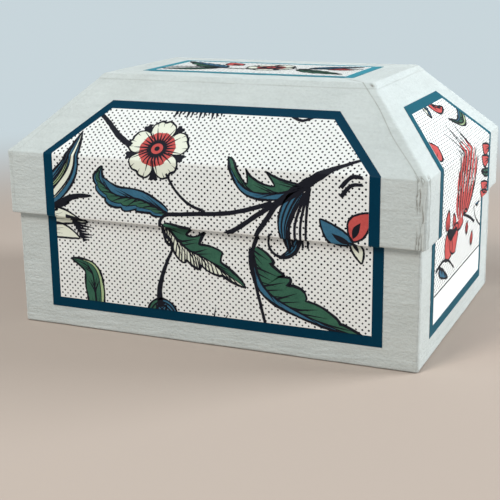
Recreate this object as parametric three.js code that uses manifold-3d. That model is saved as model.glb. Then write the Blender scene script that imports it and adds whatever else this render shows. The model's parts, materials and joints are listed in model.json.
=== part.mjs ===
// A covered-board sewing box: a base, a hipped lift-off lid that telescopes over it, and two
// lift-out trays that stack on a ledge inside. Grey boards are covered with book cloth, and a
// bordered sheet of printed paper is pasted on every face. Millimetres, +Z up, front faces -Y,
// origin in the middle of the underside.
import * as THREE from "three";
import { ConvexGeometry } from "three/addons/geometries/ConvexGeometry.js";
import { mergeVertices } from "three/addons/utils/BufferGeometryUtils.js";
import Module from "manifold-3d";

const wasm = await Module();
wasm.setup();

// ---------------------------------------------------------------- driving dimensions
const baseLength = 272.4; // over the base's book cloth, along X
const baseDepth = 192.4; // over the base's book cloth, along Y
const shownBaseHeight = 76; // what the closed lid leaves in sight
const skirtHeight = 41; // the lid's upright band
const roofRise = 47; // height of the lid's four slopes
const roofInset = 47.5; // how far the slopes run in

const boardThickness = 2;
const clothThickness = 0.4;
const liningThickness = 0.25;
const paperThickness = 0.15;
const glueLine = 0.15; // between a board and what is pasted on it
const pasteLine = 0.1; // between two papers
const jointGap = 0.15; // between the edges of neighbouring boards
const undersideMargin = 3; // the underside sheet stops short of the edges by this
const bottomTurnIn = 15; // cloth folded under the floor

const lidClearance = 0.35; // between the lid's lining and the base's printed panels
const lidSeatGap = 0.15; // between the base's rim and the lid's slopes

const borderWidth = 6.6; // blue paper showing round each print
// Cloth left bare beside the papers on the long sides and on the ends, above and below them. On
// the long sides the lid's papers draw in by longDrawIn more than the slope's own edge does.
const lidPanel = { longMargin: 27.5, endMargin: 28.5, topMargin: 15.5, longDrawIn: 3.3 };
const basePanel = { longMargin: 22, endMargin: 25, topMargin: 10, bottomMargin: 13.5 };
const topPanel = { endMargin: 19, longMargin: 18.5 };

const ledgeThickness = 3; // inner boards whose top edges carry the trays
const trayHeight = 32;
const trayRecess = 9.8; // the upper tray's rim sits this far below the base's rim
const trayStackGap = 0.3;
const trayClearance = 0.6; // between a tray and the base's walls, all round
const trayFloor = 2;
const trayWall = 2;
const dividerThickness = 1.6;
const dividerDrop = 4; // dividers stop this far below the tray's rim
const upperFrontRow = 62; // depth of the upper tray's long front compartment
const upperEndCell = 84; // length of each of its two end compartments
const lowerLeftCell = 118; // length of the lower tray's left compartment

const pullWidth = 16;
const pullThickness = 1;
const pullTail = 15; // part of a ribbon pull glued to its tray's end wall
const pullRise = 12; // part of an upper pull that stands above the tray's rim
const foldedPullLength = 22; // a lower pull hangs down its end wall by this
const foldedPullDrop = 3; // from the lower tray's rim down to its pull

const cutOver = 1; // a cutting solid runs past what it cuts by this

// ---------------------------------------------------------------- what follows from them
const wallThickness = clothThickness + glueLine + boardThickness + glueLine;
const panelStack = 2 * (pasteLine + paperThickness);
const lidWallThickness = wallThickness + liningThickness;
const lidOverhang = lidWallThickness + lidClearance + panelStack;
const lidLength = baseLength + 2 * lidOverhang;
const lidDepth = baseDepth + 2 * lidOverhang;

const skirtBottom = shownBaseHeight;
const crease = skirtBottom + skirtHeight;
const lidTop = crease + roofRise;
const slopeLength = Math.hypot(roofRise, roofInset);
const creaseDrop = (slopeLength - roofRise) / roofInset; // fall of the crease per mm of inward offset
const topShrink = (slopeLength - roofInset) / roofRise; // shrink of the flat top per mm of inward offset

const liningCrease = crease - lidWallThickness * creaseDrop;
const seatInset = lidOverhang - lidWallThickness;
const rim = liningCrease + (seatInset * roofRise) / roofInset - lidSeatGap;

const underside = liningThickness;
const turnInBottom = underside + pasteLine;
const boardBottom = turnInBottom + clothThickness + glueLine;
const boardTop = rim - clothThickness - glueLine;
const floorTop = boardBottom + boardThickness;
const floorLiningBottom = floorTop + glueLine;
const innerWall = wallThickness + clothThickness; // base's outside to its inside face

const upperTrayTop = rim - trayRecess;
const upperTrayBottom = upperTrayTop - trayHeight;
const lowerTrayTop = upperTrayBottom - trayStackGap;
const lowerTrayBottom = lowerTrayTop - trayHeight;
const ledgeTop = lowerTrayBottom - trayStackGap;
const trayLength = baseLength - 2 * (innerWall + trayClearance);
const trayDepth = baseDepth - 2 * (innerWall + trayClearance);

// ---------------------------------------------------------------- materials
const finish = (color, roughness) => new THREE.MeshStandardMaterial({ color, roughness, metalness: 0 });
const bookCloth = finish(0xc9cdc4, 0.85);
const greyBoard = finish(0x8f8a80, 0.95);
const bluePaper = finish(0x123f5a, 0.7);
const printedPaper = finish(0xf1efe8, 0.75);
const liningPaper = finish(0x2c5f7c, 0.8);
const ribbon = finish(0xc45a55, 0.6);

// ---------------------------------------------------------------- solids
/** A closed geometry as a manifold-3d solid. */
function solid(geometry) {
  const bare = geometry.clone();
  bare.deleteAttribute("normal");
  bare.deleteAttribute("uv");
  const merged = mergeVertices(bare);
  return new wasm.Manifold(
    new wasm.Mesh({
      numProp: 3,
      vertProperties: merged.attributes.position.array,
      triVerts: new Uint32Array(merged.index.array),
    }),
  );
}

/** A manifold-3d solid back as a geometry. */
function geometryOf(made) {
  const mesh = made.getMesh();
  return new THREE.BufferGeometry()
    .setAttribute("position", new THREE.BufferAttribute(new Float32Array(mesh.vertProperties), 3))
    .setIndex(new THREE.BufferAttribute(new Uint32Array(mesh.triVerts), 1));
}

/** A box between two values on each axis. */
function block(x0, x1, y0, y1, z0, z1) {
  return new THREE.BoxGeometry(x1 - x0, y1 - y0, z1 - z0).translate(
    (x0 + x1) / 2,
    (y0 + y1) / 2,
    (z0 + z1) / 2,
  );
}

/** An upright box centred on the Z axis, as a solid. */
function centredBlock(length, depth, z0, z1) {
  return solid(block(-length / 2, length / 2, -depth / 2, depth / 2, z0, z1));
}

/** A square tube round the base's outline, between two inward offsets. */
function baseRing(outer, inner, z0, z1) {
  const outside = centredBlock(baseLength - 2 * outer, baseDepth - 2 * outer, z0, z1);
  return outside.subtract(
    centredBlock(baseLength - 2 * inner, baseDepth - 2 * inner, z0 - cutOver, z1 + cutOver),
  );
}

/** The lid's outer shape moved inwards by an offset, filled from z0 up. */
function lidBody(offset, z0, length = lidLength, depth = lidDepth) {
  const levels = [
    [0, z0],
    [0, crease - offset * creaseDrop],
    [roofInset - offset + offset * topShrink, lidTop - offset],
  ];
  const points = levels.flatMap(([inset, z]) =>
    [
      [1, 1],
      [1, -1],
      [-1, 1],
      [-1, -1],
    ].map(
      ([sx, sy]) =>
        new THREE.Vector3(
          sx * (length / 2 - offset - inset),
          sy * (depth / 2 - offset - inset),
          z,
        ),
    ),
  );
  return solid(new ConvexGeometry(points));
}

/** The plate whose outline is drawn on the XY plane, extruded up from z = 0. */
function plate(outline, thickness) {
  const shape = new THREE.Shape(outline.map(([x, y]) => new THREE.Vector2(x, y)));
  return new THREE.ExtrudeGeometry(shape, { depth: thickness, bevelEnabled: false });
}

/** A named mesh. */
function piece(name, geometry, material) {
  const mesh = new THREE.Mesh(geometry, material);
  mesh.name = name;
  return mesh;
}

// The four sides, each drawn as the front and turned into place about Z.
const sides = [
  { name: "front", turn: 0, long: true },
  { name: "right", turn: Math.PI / 2, long: false },
  { name: "back", turn: Math.PI, long: true },
  { name: "left", turn: -Math.PI / 2, long: false },
];

/** A side's run along X and the other size, as if it were the front of a box of this size. */
function asFront(side, length, depth) {
  return side.long ? [length, depth] : [depth, length];
}

/** A group turned so that what is drawn for the front faces the given side. */
function turned(side, meshes) {
  const group = new THREE.Group();
  group.rotation.z = side.turn;
  group.add(...meshes);
  return group;
}

// ---------------------------------------------------------------- base
/** The upright boards, the front and back ones running past the ends of the other two. */
function baseWall(side) {
  const [run, depth] = asFront(side, baseLength, baseDepth);
  const corner = run / 2 - clothThickness - glueLine;
  const half = side.long ? corner : corner - boardThickness - jointGap;
  const face = depth / 2 - clothThickness - glueLine;
  const board = block(-half, half, -face, -face + boardThickness, boardBottom, boardTop);
  return piece(`base_${side.name}_wall`, board, greyBoard);
}

/** An inner board that stops at the ledge the lower tray rests on. */
function trayLedge(side) {
  const [run, depth] = asFront(side, baseLength, baseDepth);
  const corner = run / 2 - wallThickness;
  const half = side.long ? corner : corner - ledgeThickness - jointGap;
  const face = depth / 2 - wallThickness;
  const foot = floorTop + glueLine;
  const board = block(-half, half, -face, -face + ledgeThickness, foot, ledgeTop);
  return piece(`tray_ledge_${side.name}`, board, liningPaper);
}

/** The blue sheet and the smaller printed sheet pasted on one side of the base. */
function baseSidePapers(side) {
  const [run, depth] = asFront(side, baseLength, baseDepth);
  const half = run / 2 - (side.long ? basePanel.longMargin : basePanel.endMargin);
  const face = depth / 2;
  const top = rim - basePanel.topMargin;
  const sheet = (inset, outer) =>
    block(
      -half + inset,
      half - inset,
      -face - outer,
      -face - outer + paperThickness,
      basePanel.bottomMargin + inset,
      top,
    );
  return [
    piece(`base_${side.name}_border`, sheet(0, panelStack / 2), bluePaper),
    piece(`base_${side.name}_print`, sheet(borderWidth, panelStack), printedPaper),
  ];
}

/** Book cloth round the walls, folded over the rim down to the ledge and under the floor. */
function baseCover() {
  const walls = baseRing(0, innerWall, turnInBottom, rim);
  const boards = baseRing(
    clothThickness,
    wallThickness,
    turnInBottom + clothThickness,
    rim - clothThickness,
  );
  const belowLedge = baseRing(
    wallThickness - cutOver,
    innerWall + cutOver,
    0,
    ledgeTop + glueLine,
  );
  const fold = baseRing(0, bottomTurnIn, turnInBottom, turnInBottom + clothThickness);
  return geometryOf(walls.subtract(boards).subtract(belowLedge).add(fold));
}

/** The base's floor board, its lining and the sheet under it. */
function baseFloor() {
  const reach = clothThickness + glueLine + boardThickness + jointGap;
  const x = baseLength / 2 - reach;
  const y = baseDepth / 2 - reach;
  const lx = baseLength / 2 - wallThickness - ledgeThickness - jointGap;
  const ly = baseDepth / 2 - wallThickness - ledgeThickness - jointGap;
  const sx = baseLength / 2 - undersideMargin;
  const sy = baseDepth / 2 - undersideMargin;
  const liningTop = floorLiningBottom + liningThickness;
  return [
    piece("base_floor", block(-x, x, -y, y, boardBottom, floorTop), greyBoard),
    piece("base_floor_lining", block(-lx, lx, -ly, ly, floorLiningBottom, liningTop), liningPaper),
    piece("underside_sheet", block(-sx, sx, -sy, sy, 0, underside), bookCloth),
  ];
}

function buildBase() {
  const group = new THREE.Group();
  group.add(...baseFloor(), piece("base_cover", baseCover(), bookCloth));
  for (const side of sides)
    group.add(turned(side, [baseWall(side), trayLedge(side), ...baseSidePapers(side)]));
  return group;
}

// ---------------------------------------------------------------- lid
const boardInner = clothThickness + glueLine + boardThickness; // inside face of the lid's boards
const innerCrease = crease - boardInner * creaseDrop;
const innerTop = lidTop - boardInner;
const innerTopInset = roofInset + boardInner * topShrink; // from the lid's outside

/** The upright board of one side of the lid. */
function skirtBoard(side) {
  const [run, depth] = asFront(side, lidLength, lidDepth);
  const corner = run / 2 - clothThickness - glueLine;
  const half = side.long ? corner : corner - boardThickness - jointGap;
  const face = depth / 2 - clothThickness - glueLine;
  const foot = skirtBottom + clothThickness + glueLine;
  const board = block(-half, half, -face, -face + boardThickness, foot, innerCrease - jointGap);
  return piece(`lid_${side.name}_skirt`, board, greyBoard);
}

/** The sloping board of one side: its inner face's outline, extruded outwards. */
function slopeBoard(side) {
  const [run, depth] = asFront(side, lidLength, lidDepth);
  const bottom = run / 2 - boardInner - jointGap;
  const top = run / 2 - innerTopInset - jointGap;
  const width = Math.hypot(innerTopInset - boardInner, innerTop - innerCrease);
  const outline = [
    [-bottom, jointGap],
    [bottom, jointGap],
    [top, width - jointGap],
    [-top, width - jointGap],
  ];
  const board = piece(`lid_${side.name}_slope`, plate(outline, boardThickness), greyBoard);
  board.position.set(0, -depth / 2 + boardInner, innerCrease);
  board.rotation.x = Math.atan2(innerTop - innerCrease, innerTopInset - boardInner);
  return board;
}

/** A sheet bent over the crease of one side, between two outward offsets. */
function bentSheet(side, inset, inner, outer) {
  const [run, depth] = asFront(side, lidLength, lidDepth);
  const margin = side.long ? lidPanel.longMargin : lidPanel.endMargin;
  const half = run / 2 - margin - inset;
  const top = lidTop - lidPanel.topMargin - inset * (roofRise / slopeLength);
  const drawIn = side.long ? lidPanel.longDrawIn : 0;
  const shoulder = half - drawIn - ((top - crease) * roofInset) / roofRise;
  const outline = [
    [-half, skirtBottom],
    [half, skirtBottom],
    [half, crease],
    [shoulder, top],
    [-shoulder, top],
    [-half, crease],
  ];
  const upright = plate(outline, depth / 2).rotateX(Math.PI / 2).translate(0, -cutOver, 0);
  const shell = lidBody(-outer, skirtBottom, run, depth).subtract(
    lidBody(-inner, skirtBottom - cutOver, run, depth),
  );
  return geometryOf(shell.intersect(solid(upright)));
}

/** The blue sheet and the smaller printed sheet pasted on one side of the lid. */
function lidSidePapers(side) {
  const half = panelStack / 2;
  return [
    piece(`lid_${side.name}_border`, bentSheet(side, 0, pasteLine, half), bluePaper),
    piece(
      `lid_${side.name}_print`,
      bentSheet(side, borderWidth, half + pasteLine, panelStack),
      printedPaper,
    ),
  ];
}

/** The flat top's board, and the two papers on it. */
function lidTopPieces() {
  const bx = lidLength / 2 - innerTopInset - jointGap;
  const by = lidDepth / 2 - innerTopInset - jointGap;
  const px = lidLength / 2 - roofInset - topPanel.endMargin;
  const py = lidDepth / 2 - roofInset - topPanel.longMargin;
  const sheet = (inset, outer) =>
    block(
      -px + inset,
      px - inset,
      -py + inset,
      py - inset,
      lidTop + outer - paperThickness,
      lidTop + outer,
    );
  return [
    piece("lid_top_board", block(-bx, bx, -by, by, innerTop, innerTop + boardThickness), greyBoard),
    piece("lid_top_border", sheet(0, panelStack / 2), bluePaper),
    piece("lid_top_print", sheet(borderWidth, panelStack), printedPaper),
  ];
}

/** Book cloth over the whole lid, folded under the skirt's edge. */
function lidCover() {
  const mouth = centredBlock(
    lidLength - 2 * lidWallThickness,
    lidDepth - 2 * lidWallThickness,
    skirtBottom - cutOver,
    skirtBottom + cutOver,
  );
  const cover = lidBody(0, skirtBottom)
    .subtract(lidBody(clothThickness, skirtBottom + clothThickness))
    .subtract(mouth);
  return geometryOf(cover);
}

/** The paper that lines the lid. */
function lidLining() {
  const outside = lidBody(wallThickness, skirtBottom + clothThickness + glueLine);
  return geometryOf(outside.subtract(lidBody(lidWallThickness, skirtBottom - cutOver)));
}

function buildLid() {
  const group = new THREE.Group();
  group.add(piece("lid_cover", lidCover(), bookCloth), piece("lid_lining", lidLining(), liningPaper));
  group.add(...lidTopPieces());
  for (const side of sides)
    group.add(turned(side, [skirtBoard(side), slopeBoard(side), ...lidSidePapers(side)]));
  return group;
}

// ---------------------------------------------------------------- trays
/** A tray's floor and four walls, the front and back walls running past the others. */
function trayShell(name, bottom) {
  const x = trayLength / 2;
  const y = trayDepth / 2;
  const foot = bottom + trayFloor + glueLine;
  const top = bottom + trayHeight;
  const endY = y - trayWall - jointGap;
  return [
    piece(`${name}_floor`, block(-x, x, -y, y, bottom, bottom + trayFloor), bookCloth),
    piece(`${name}_front_wall`, block(-x, x, -y, -y + trayWall, foot, top), bookCloth),
    piece(`${name}_back_wall`, block(-x, x, y - trayWall, y, foot, top), bookCloth),
    piece(`${name}_left_wall`, block(-x, -x + trayWall, -endY, endY, foot, top), bookCloth),
    piece(`${name}_right_wall`, block(x - trayWall, x, -endY, endY, foot, top), bookCloth),
  ];
}

const dividerReachX = trayLength / 2 - trayWall - jointGap;
const dividerReachY = trayDepth / 2 - trayWall - jointGap;

/** The upper tray: a long front compartment and three behind it. */
function buildUpperTray() {
  const name = "upper_tray";
  const foot = upperTrayBottom + trayFloor + glueLine;
  const top = upperTrayTop - dividerDrop;
  const rowY = -dividerReachY + upperFrontRow;
  const crossY = rowY + dividerThickness + jointGap;
  const cross = (x) => block(x, x + dividerThickness, crossY, dividerReachY, foot, top);
  const leftX = -dividerReachX + upperEndCell;
  const rightX = dividerReachX - upperEndCell - dividerThickness;
  const row = block(-dividerReachX, dividerReachX, rowY, rowY + dividerThickness, foot, top);
  const group = new THREE.Group();
  group.add(
    ...trayShell(name, upperTrayBottom),
    piece(`${name}_long_divider`, row, bluePaper),
    piece(`${name}_left_divider`, cross(leftX), bluePaper),
    piece(`${name}_right_divider`, cross(rightX), bluePaper),
    ...pulls(name, upperTrayTop - pullTail, upperTrayTop + pullRise),
  );
  return group;
}

/** The lower tray: two compartments. */
function buildLowerTray() {
  const name = "lower_tray";
  const foot = lowerTrayBottom + trayFloor + glueLine;
  const x = -dividerReachX + lowerLeftCell;
  const divider = block(
    x,
    x + dividerThickness,
    -dividerReachY,
    dividerReachY,
    foot,
    lowerTrayTop - dividerDrop,
  );
  const pullTop = lowerTrayTop - foldedPullDrop;
  const group = new THREE.Group();
  group.add(
    ...trayShell(name, lowerTrayBottom),
    piece(`${name}_divider`, divider, bluePaper),
    ...pulls(name, pullTop - foldedPullLength, pullTop),
  );
  return group;
}

/** A ribbon pull in the middle of each end wall, against its inside. */
function pulls(name, z0, z1) {
  const x = trayLength / 2 - trayWall - glueLine;
  const y = pullWidth / 2;
  return [
    piece(`${name}_left_pull`, block(-x, -x + pullThickness, -y, y, z0, z1), ribbon),
    piece(`${name}_right_pull`, block(x - pullThickness, x, -y, y, z0, z1), ribbon),
  ];
}

const sewingBox = new THREE.Group();
sewingBox.add(buildBase(), buildLid(), buildUpperTray(), buildLowerTray());

export default sewingBox;
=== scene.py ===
"""A sewing box covered in book cloth, with printed panels and two lift-out trays.

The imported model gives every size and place. This file gives the box its surfaces: cloth with
rounded edges, seams and puckers, pasted papers that bend over the lid's crease, and a botanical
print drawn as flat shapes of ink on the unrolled sheets. Lengths are in millimetres until a
mesh is made, and in metres after that.
"""

import json
import logging
import math
import random
from bisect import bisect_right
from collections.abc import Callable, Iterable, Sequence
from dataclasses import dataclass, field
from enum import Enum
from functools import partial

import bmesh
import bpy
from mathutils import Matrix, Vector, noise


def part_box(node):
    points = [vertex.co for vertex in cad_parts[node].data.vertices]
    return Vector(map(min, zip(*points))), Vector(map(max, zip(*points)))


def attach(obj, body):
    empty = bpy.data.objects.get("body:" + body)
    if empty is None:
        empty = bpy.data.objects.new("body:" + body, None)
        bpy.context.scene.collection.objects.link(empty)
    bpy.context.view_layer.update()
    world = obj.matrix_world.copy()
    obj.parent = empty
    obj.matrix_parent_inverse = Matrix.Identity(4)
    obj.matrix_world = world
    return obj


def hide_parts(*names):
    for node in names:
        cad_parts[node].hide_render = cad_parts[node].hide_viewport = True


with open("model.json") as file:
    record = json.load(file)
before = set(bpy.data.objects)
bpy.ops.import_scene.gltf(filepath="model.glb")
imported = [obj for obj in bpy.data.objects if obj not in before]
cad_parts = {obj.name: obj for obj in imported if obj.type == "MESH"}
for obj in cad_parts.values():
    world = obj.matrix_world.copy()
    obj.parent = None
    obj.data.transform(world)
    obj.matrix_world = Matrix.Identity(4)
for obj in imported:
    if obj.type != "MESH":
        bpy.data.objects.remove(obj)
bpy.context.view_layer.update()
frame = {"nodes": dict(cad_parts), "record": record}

MM = 0.001
# How dark each point of the book cloth is painted: painted shade in gaps and creases, and darker along the
# bottom edges.
SHADE_MARK = "crevice"
PAPER_TOOTH = 0.02
log = logging.getLogger("sewing_box")

Point2 = tuple[float, float]
Point3 = tuple[float, float, float]
Colour = tuple[float, float, float]
Line = Sequence[Point2]
Socket = bpy.types.NodeSocket
Mesh = bpy.types.Mesh
Flat = bmesh.types.BMesh


# ------------------------------------------------------------------ reading the frame
def node_box(node: str) -> tuple[Vector, Vector]:
    """Give a CAD node's box in millimetres.

    Args:
        node: The node's name.

    Returns:
        Its lowest and highest corners.
    """
    low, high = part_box(node)
    return Vector(low) / MM, Vector(high) / MM


def wave(*where: float) -> float:
    """Give smooth noise between about -1 and 1 at a place of up to three coordinates."""
    return noise.noise(Vector((*where, 0.0, 0.0, 0.0)[:3]))


def bump(distance: float, width: float) -> float:
    """Give a bell curve that is 1 at no distance and falls off over a width."""
    return math.exp(-((distance / width) ** 2))


class Side(Enum):
    """The four upright sides, in order round the box, each with its direction of run."""

    FRONT = (1, 0)
    RIGHT = (0, 1)
    BACK = (-1, 0)
    LEFT = (0, -1)

    @property
    def label(self) -> str:
        """The side's name in lower case, as node names use it."""
        return self.name.lower()

    @property
    def is_long(self) -> bool:
        """Whether this is the front or the back."""
        return self in (Side.FRONT, Side.BACK)

    def place(self, along: float, reach: float, height: float) -> Point3:
        """Turn a place on this side into the row frame.

        Args:
            along: Distance from the side's middle, to the right as one faces it.
            reach: Distance out from the box's upright axis.
            height: Height above the underside.

        Returns:
            The same place as x, y, z.
        """
        dx, dy = self.value
        return (dx * along + dy * reach, dy * along - dx * reach, height)


# ------------------------------------------------------------------ materials
class Graph:
    """A short way to add and join nodes in one node tree."""

    def __init__(self, tree: bpy.types.NodeTree) -> None:
        """Keep the tree that the nodes go in."""
        self.tree = tree

    def add(self, kind: str, **settings: object) -> bpy.types.Node:
        """Add a node.

        Args:
            kind: The node's type name.
            settings: Properties to set on it.

        Returns:
            The new node.
        """
        node = self.tree.nodes.new(kind)
        for name, value in settings.items():
            setattr(node, name, value)
        return node

    def feed(self, socket: Socket, value: object) -> None:
        """Join a socket to what feeds it, or set its own value."""
        if isinstance(value, Socket):
            self.tree.links.new(value, socket)
        else:
            socket.default_value = value

    def put(
        self, kind: str, inputs: dict[str | int, object], give: str | int = 0, **settings: object
    ) -> Socket:
        """Add a node and feed it.

        Args:
            kind: The node's type name.
            inputs: Values or sockets by the name or number of the input that they feed.
            give: Name or number of the output wanted.
            settings: Properties to set on it.

        Returns:
            The output.
        """
        node = self.add(kind, **settings)
        for key, value in inputs.items():
            self.feed(node.inputs[key], value)
        return node.outputs[give]

    def math(self, operation: str, *values: object) -> Socket:
        """Add a Math node that works on the values, and give its result."""
        return self.put("ShaderNodeMath", dict(enumerate(values)), operation=operation)

    def vector(self, operation: str, *values: object) -> Socket:
        """Add a Vector Math node that works on the values, and give its vector."""
        return self.put("ShaderNodeVectorMath", dict(enumerate(values)), operation=operation)

    def mix(self, factor: object, first: object, second: object) -> Socket:
        """Mix two colours, the factor being the share of the second."""
        return self.put("ShaderNodeMix", {0: factor, 6: first, 7: second}, 2, data_type="RGBA")

    def span(self, value: object, low: float, high: float) -> Socket:
        """Stretch a 0 to 1 value over a range."""
        return self.put("ShaderNodeMapRange", {"Value": value, "To Min": low, "To Max": high}, "Result")

    def position(self) -> Socket:
        """Give the Object coordinates."""
        return self.add("ShaderNodeTexCoord").outputs["Object"]

    def split(self, vector: Socket) -> list[Socket]:
        """Give a vector's three parts."""
        return [self.put("ShaderNodeSeparateXYZ", {0: vector}, axis) for axis in range(3)]

    def noise(self, scale: object, detail: float, stretch: Point3 = (1.0, 1.0, 1.0)) -> Socket:
        """Add noise on Object coordinates.

        Args:
            scale: Features to the metre.
            detail: Number of finer layers.
            stretch: How many times finer it is along each axis.

        Returns:
            The noise, from 0 to 1.
        """
        place = self.put("ShaderNodeMapping", {"Vector": self.position(), "Scale": stretch})
        return self.put("ShaderNodeTexNoise", {"Vector": place, "Scale": scale, "Detail": detail})


def shader_group(name: str, takes: Sequence[str], gives: Sequence[str]) -> tuple[Graph, dict, dict]:
    """Start a shader node group with number sockets.

    Args:
        name: The group's name.
        takes: Names of its inputs.
        gives: Names of its outputs.

    Returns:
        Its graph, its inputs by name and its outputs by name.
    """
    tree = bpy.data.node_groups.new(name, "ShaderNodeTree")
    for direction, labels in (("INPUT", takes), ("OUTPUT", gives)):
        for label in labels:
            tree.interface.new_socket(label, in_out=direction, socket_type="NodeSocketFloat")
    graph = Graph(tree)
    entry = graph.add("NodeGroupInput")
    leave = graph.add("NodeGroupOutput")
    inputs = {socket.name: socket for socket in entry.outputs if socket.name}
    outputs = {socket.name: socket for socket in leave.inputs if socket.name}
    return graph, inputs, outputs


def weave_group() -> bpy.types.NodeTree:
    """Make the weave of book cloth, shared by the box's cloth and the ribbon.

    Returns:
        A group with a mottle from 0 to 1, soiling from 0 to 1 and a height.
    """
    name = "book cloth weave"
    if name in bpy.data.node_groups:
        return bpy.data.node_groups[name]
    graph, inputs, outputs = shader_group(name, ("Thread Scale", "Slub"), ("Mottle", "Soil", "Height"))
    warp = graph.noise(55.0, 2.0)
    x, y, z = graph.split(graph.position())
    threads = []
    for socket in (graph.math("ADD", x, y), z):
        run = graph.math("MULTIPLY", socket, inputs["Thread Scale"])
        run = graph.math("ADD", run, graph.math("MULTIPLY", warp, 2.2))
        threads.append(graph.math("ABSOLUTE", graph.math("SINE", run)))
    slubs = graph.noise(300.0, 3.0, (0.26, 0.26, 1.7))
    pits = graph.noise(520.0, 2.0, (1.0, 1.0, 1.15))
    height = graph.math("MULTIPLY", graph.math("ADD", *threads), 0.14)
    height = graph.math("ADD", height, graph.math("MULTIPLY", slubs, inputs["Slub"]))
    height = graph.math("ADD", height, graph.math("MULTIPLY", pits, 1.3))
    graph.feed(outputs["Height"], height)
    blotch = graph.noise(30.0, 3.0, (1.0, 1.0, 1.6))
    mottle = graph.math("MULTIPLY", graph.math("ADD", blotch, graph.math("ADD", pits, slubs)), 0.333)
    graph.feed(outputs["Mottle"], graph.span(mottle, -0.85, 1.85))
    soil = graph.span(graph.noise(11.0, 6.0), -1.1, 1.3)
    graph.feed(outputs["Soil"], graph.math("SMOOTH_MAX", soil, 0.0, 0.1))
    return graph.tree


def fibre_group() -> bpy.types.NodeTree:
    """Make the fibre and tooth of uncoated paper, shared by all the papers and inks.

    Returns:
        A group with a mottle from 0 to 1 and a height.
    """
    name = "paper fibre"
    if name in bpy.data.node_groups:
        return bpy.data.node_groups[name]
    graph, inputs, outputs = shader_group(name, ("Blotch Scale",), ("Mottle", "Height"))
    blotch = graph.noise(inputs["Blotch Scale"], 4.0)
    grain = graph.noise(900.0, 3.0)
    tooth = graph.noise(1500.0, 2.0, (1.0, 0.6, 1.0))
    halves = [graph.math("MULTIPLY", part, 0.5) for part in (blotch, grain)]
    graph.feed(outputs["Mottle"], graph.math("ADD", *halves))
    graph.feed(outputs["Height"], graph.math("ADD", grain, tooth))
    return graph.tree


@dataclass(frozen=True)
class Finish:
    """What every finish of the box has: a name, two colours it wanders between and a gloss."""

    name: str
    pale: Colour
    deep: Colour
    roughness: float
    shine: float = field(default=0.3, kw_only=True)

    def start(self) -> tuple[bpy.types.Material, Graph, bpy.types.Node]:
        """Make an empty material with a Principled shader.

        Returns:
            The material, its graph and the shader.
        """
        material = bpy.data.materials.new(self.name)
        material.use_nodes = True
        graph = Graph(material.node_tree)
        shader = material.node_tree.nodes["Principled BSDF"]
        shader.inputs["Roughness"].default_value = self.roughness
        shader.inputs["Specular IOR Level"].default_value = self.shine
        return material, graph, shader

    def relief(self, graph: Graph, shader: bpy.types.Node, height: object, depth: float) -> None:
        """Feed the shader's normal from a height.

        Args:
            graph: The material's graph.
            shader: Its Principled shader.
            height: The height's socket, from 0 to about 1.
            depth: How deep a height of 1 is, in millimetres.
        """
        node = graph.add("ShaderNodeBump")
        node.inputs["Strength"].default_value = 1.0
        node.inputs["Distance"].default_value = depth * MM
        graph.feed(node.inputs["Height"], height)
        graph.feed(shader.inputs["Normal"], node.outputs[0])

    @staticmethod
    def fibre(graph: Graph, blotch_scale: float) -> Sequence[Socket]:
        """Place the paper fibre group.

        Args:
            graph: The material's graph.
            blotch_scale: Blotches to the metre.

        Returns:
            The group's outputs.
        """
        node = graph.add("ShaderNodeGroup", node_tree=fibre_group())
        node.inputs["Blotch Scale"].default_value = blotch_scale
        return node.outputs

    def make(self) -> bpy.types.Material:
        """Build the material, or give the one already built."""
        if self.name in bpy.data.materials:
            return bpy.data.materials[self.name]
        return self.build()

    def build(self) -> bpy.types.Material:
        """Build the material."""
        raise NotImplementedError


@dataclass(frozen=True)
class WovenCloth(Finish):
    """Book cloth or ribbon: woven, matte, a little soiled, darkened with painted shade in its gaps and
    creases.
    """

    thread_scale: float = 9000.0
    slub: float = 0.9
    depth: float = 0.42
    soiled: Colour = (0.52, 0.53, 0.47)
    # The dark brown that the cloth is painted towards by the point attribute: painted shade in gaps and
    # creases, and darker along bottom edges.
    shade_and_dirt: Colour = (0.20, 0.18, 0.15)
    sheen: float = 0.1

    def build(self) -> bpy.types.Material:
        """Build the material.

        Returns:
            The new material.
        """
        material, graph, shader = self.start()
        weave = graph.add("ShaderNodeGroup", node_tree=weave_group())
        weave.inputs["Thread Scale"].default_value = self.thread_scale
        weave.inputs["Slub"].default_value = self.slub
        colour = graph.mix(weave.outputs["Mottle"], (*self.deep, 1), (*self.pale, 1))
        soil = graph.math("MULTIPLY", weave.outputs["Soil"], 0.25)
        colour = graph.mix(soil, colour, (*self.soiled, 1))
        # Painted shade: the point attribute mixes the dark brown into gaps, creases and bottom edges.
        crevice = graph.add("ShaderNodeAttribute", attribute_name=SHADE_MARK).outputs["Fac"]
        graph.feed(shader.inputs["Base Color"], graph.mix(crevice, colour, (*self.shade_and_dirt, 1)))
        rough = graph.span(weave.outputs["Mottle"], self.roughness + 0.06, self.roughness - 0.06)
        graph.feed(shader.inputs["Roughness"], rough)
        shader.inputs["Sheen Weight"].default_value = self.sheen
        shader.inputs["Sheen Roughness"].default_value = 0.5
        self.relief(graph, shader, weave.outputs["Height"], self.depth)
        return material


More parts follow.
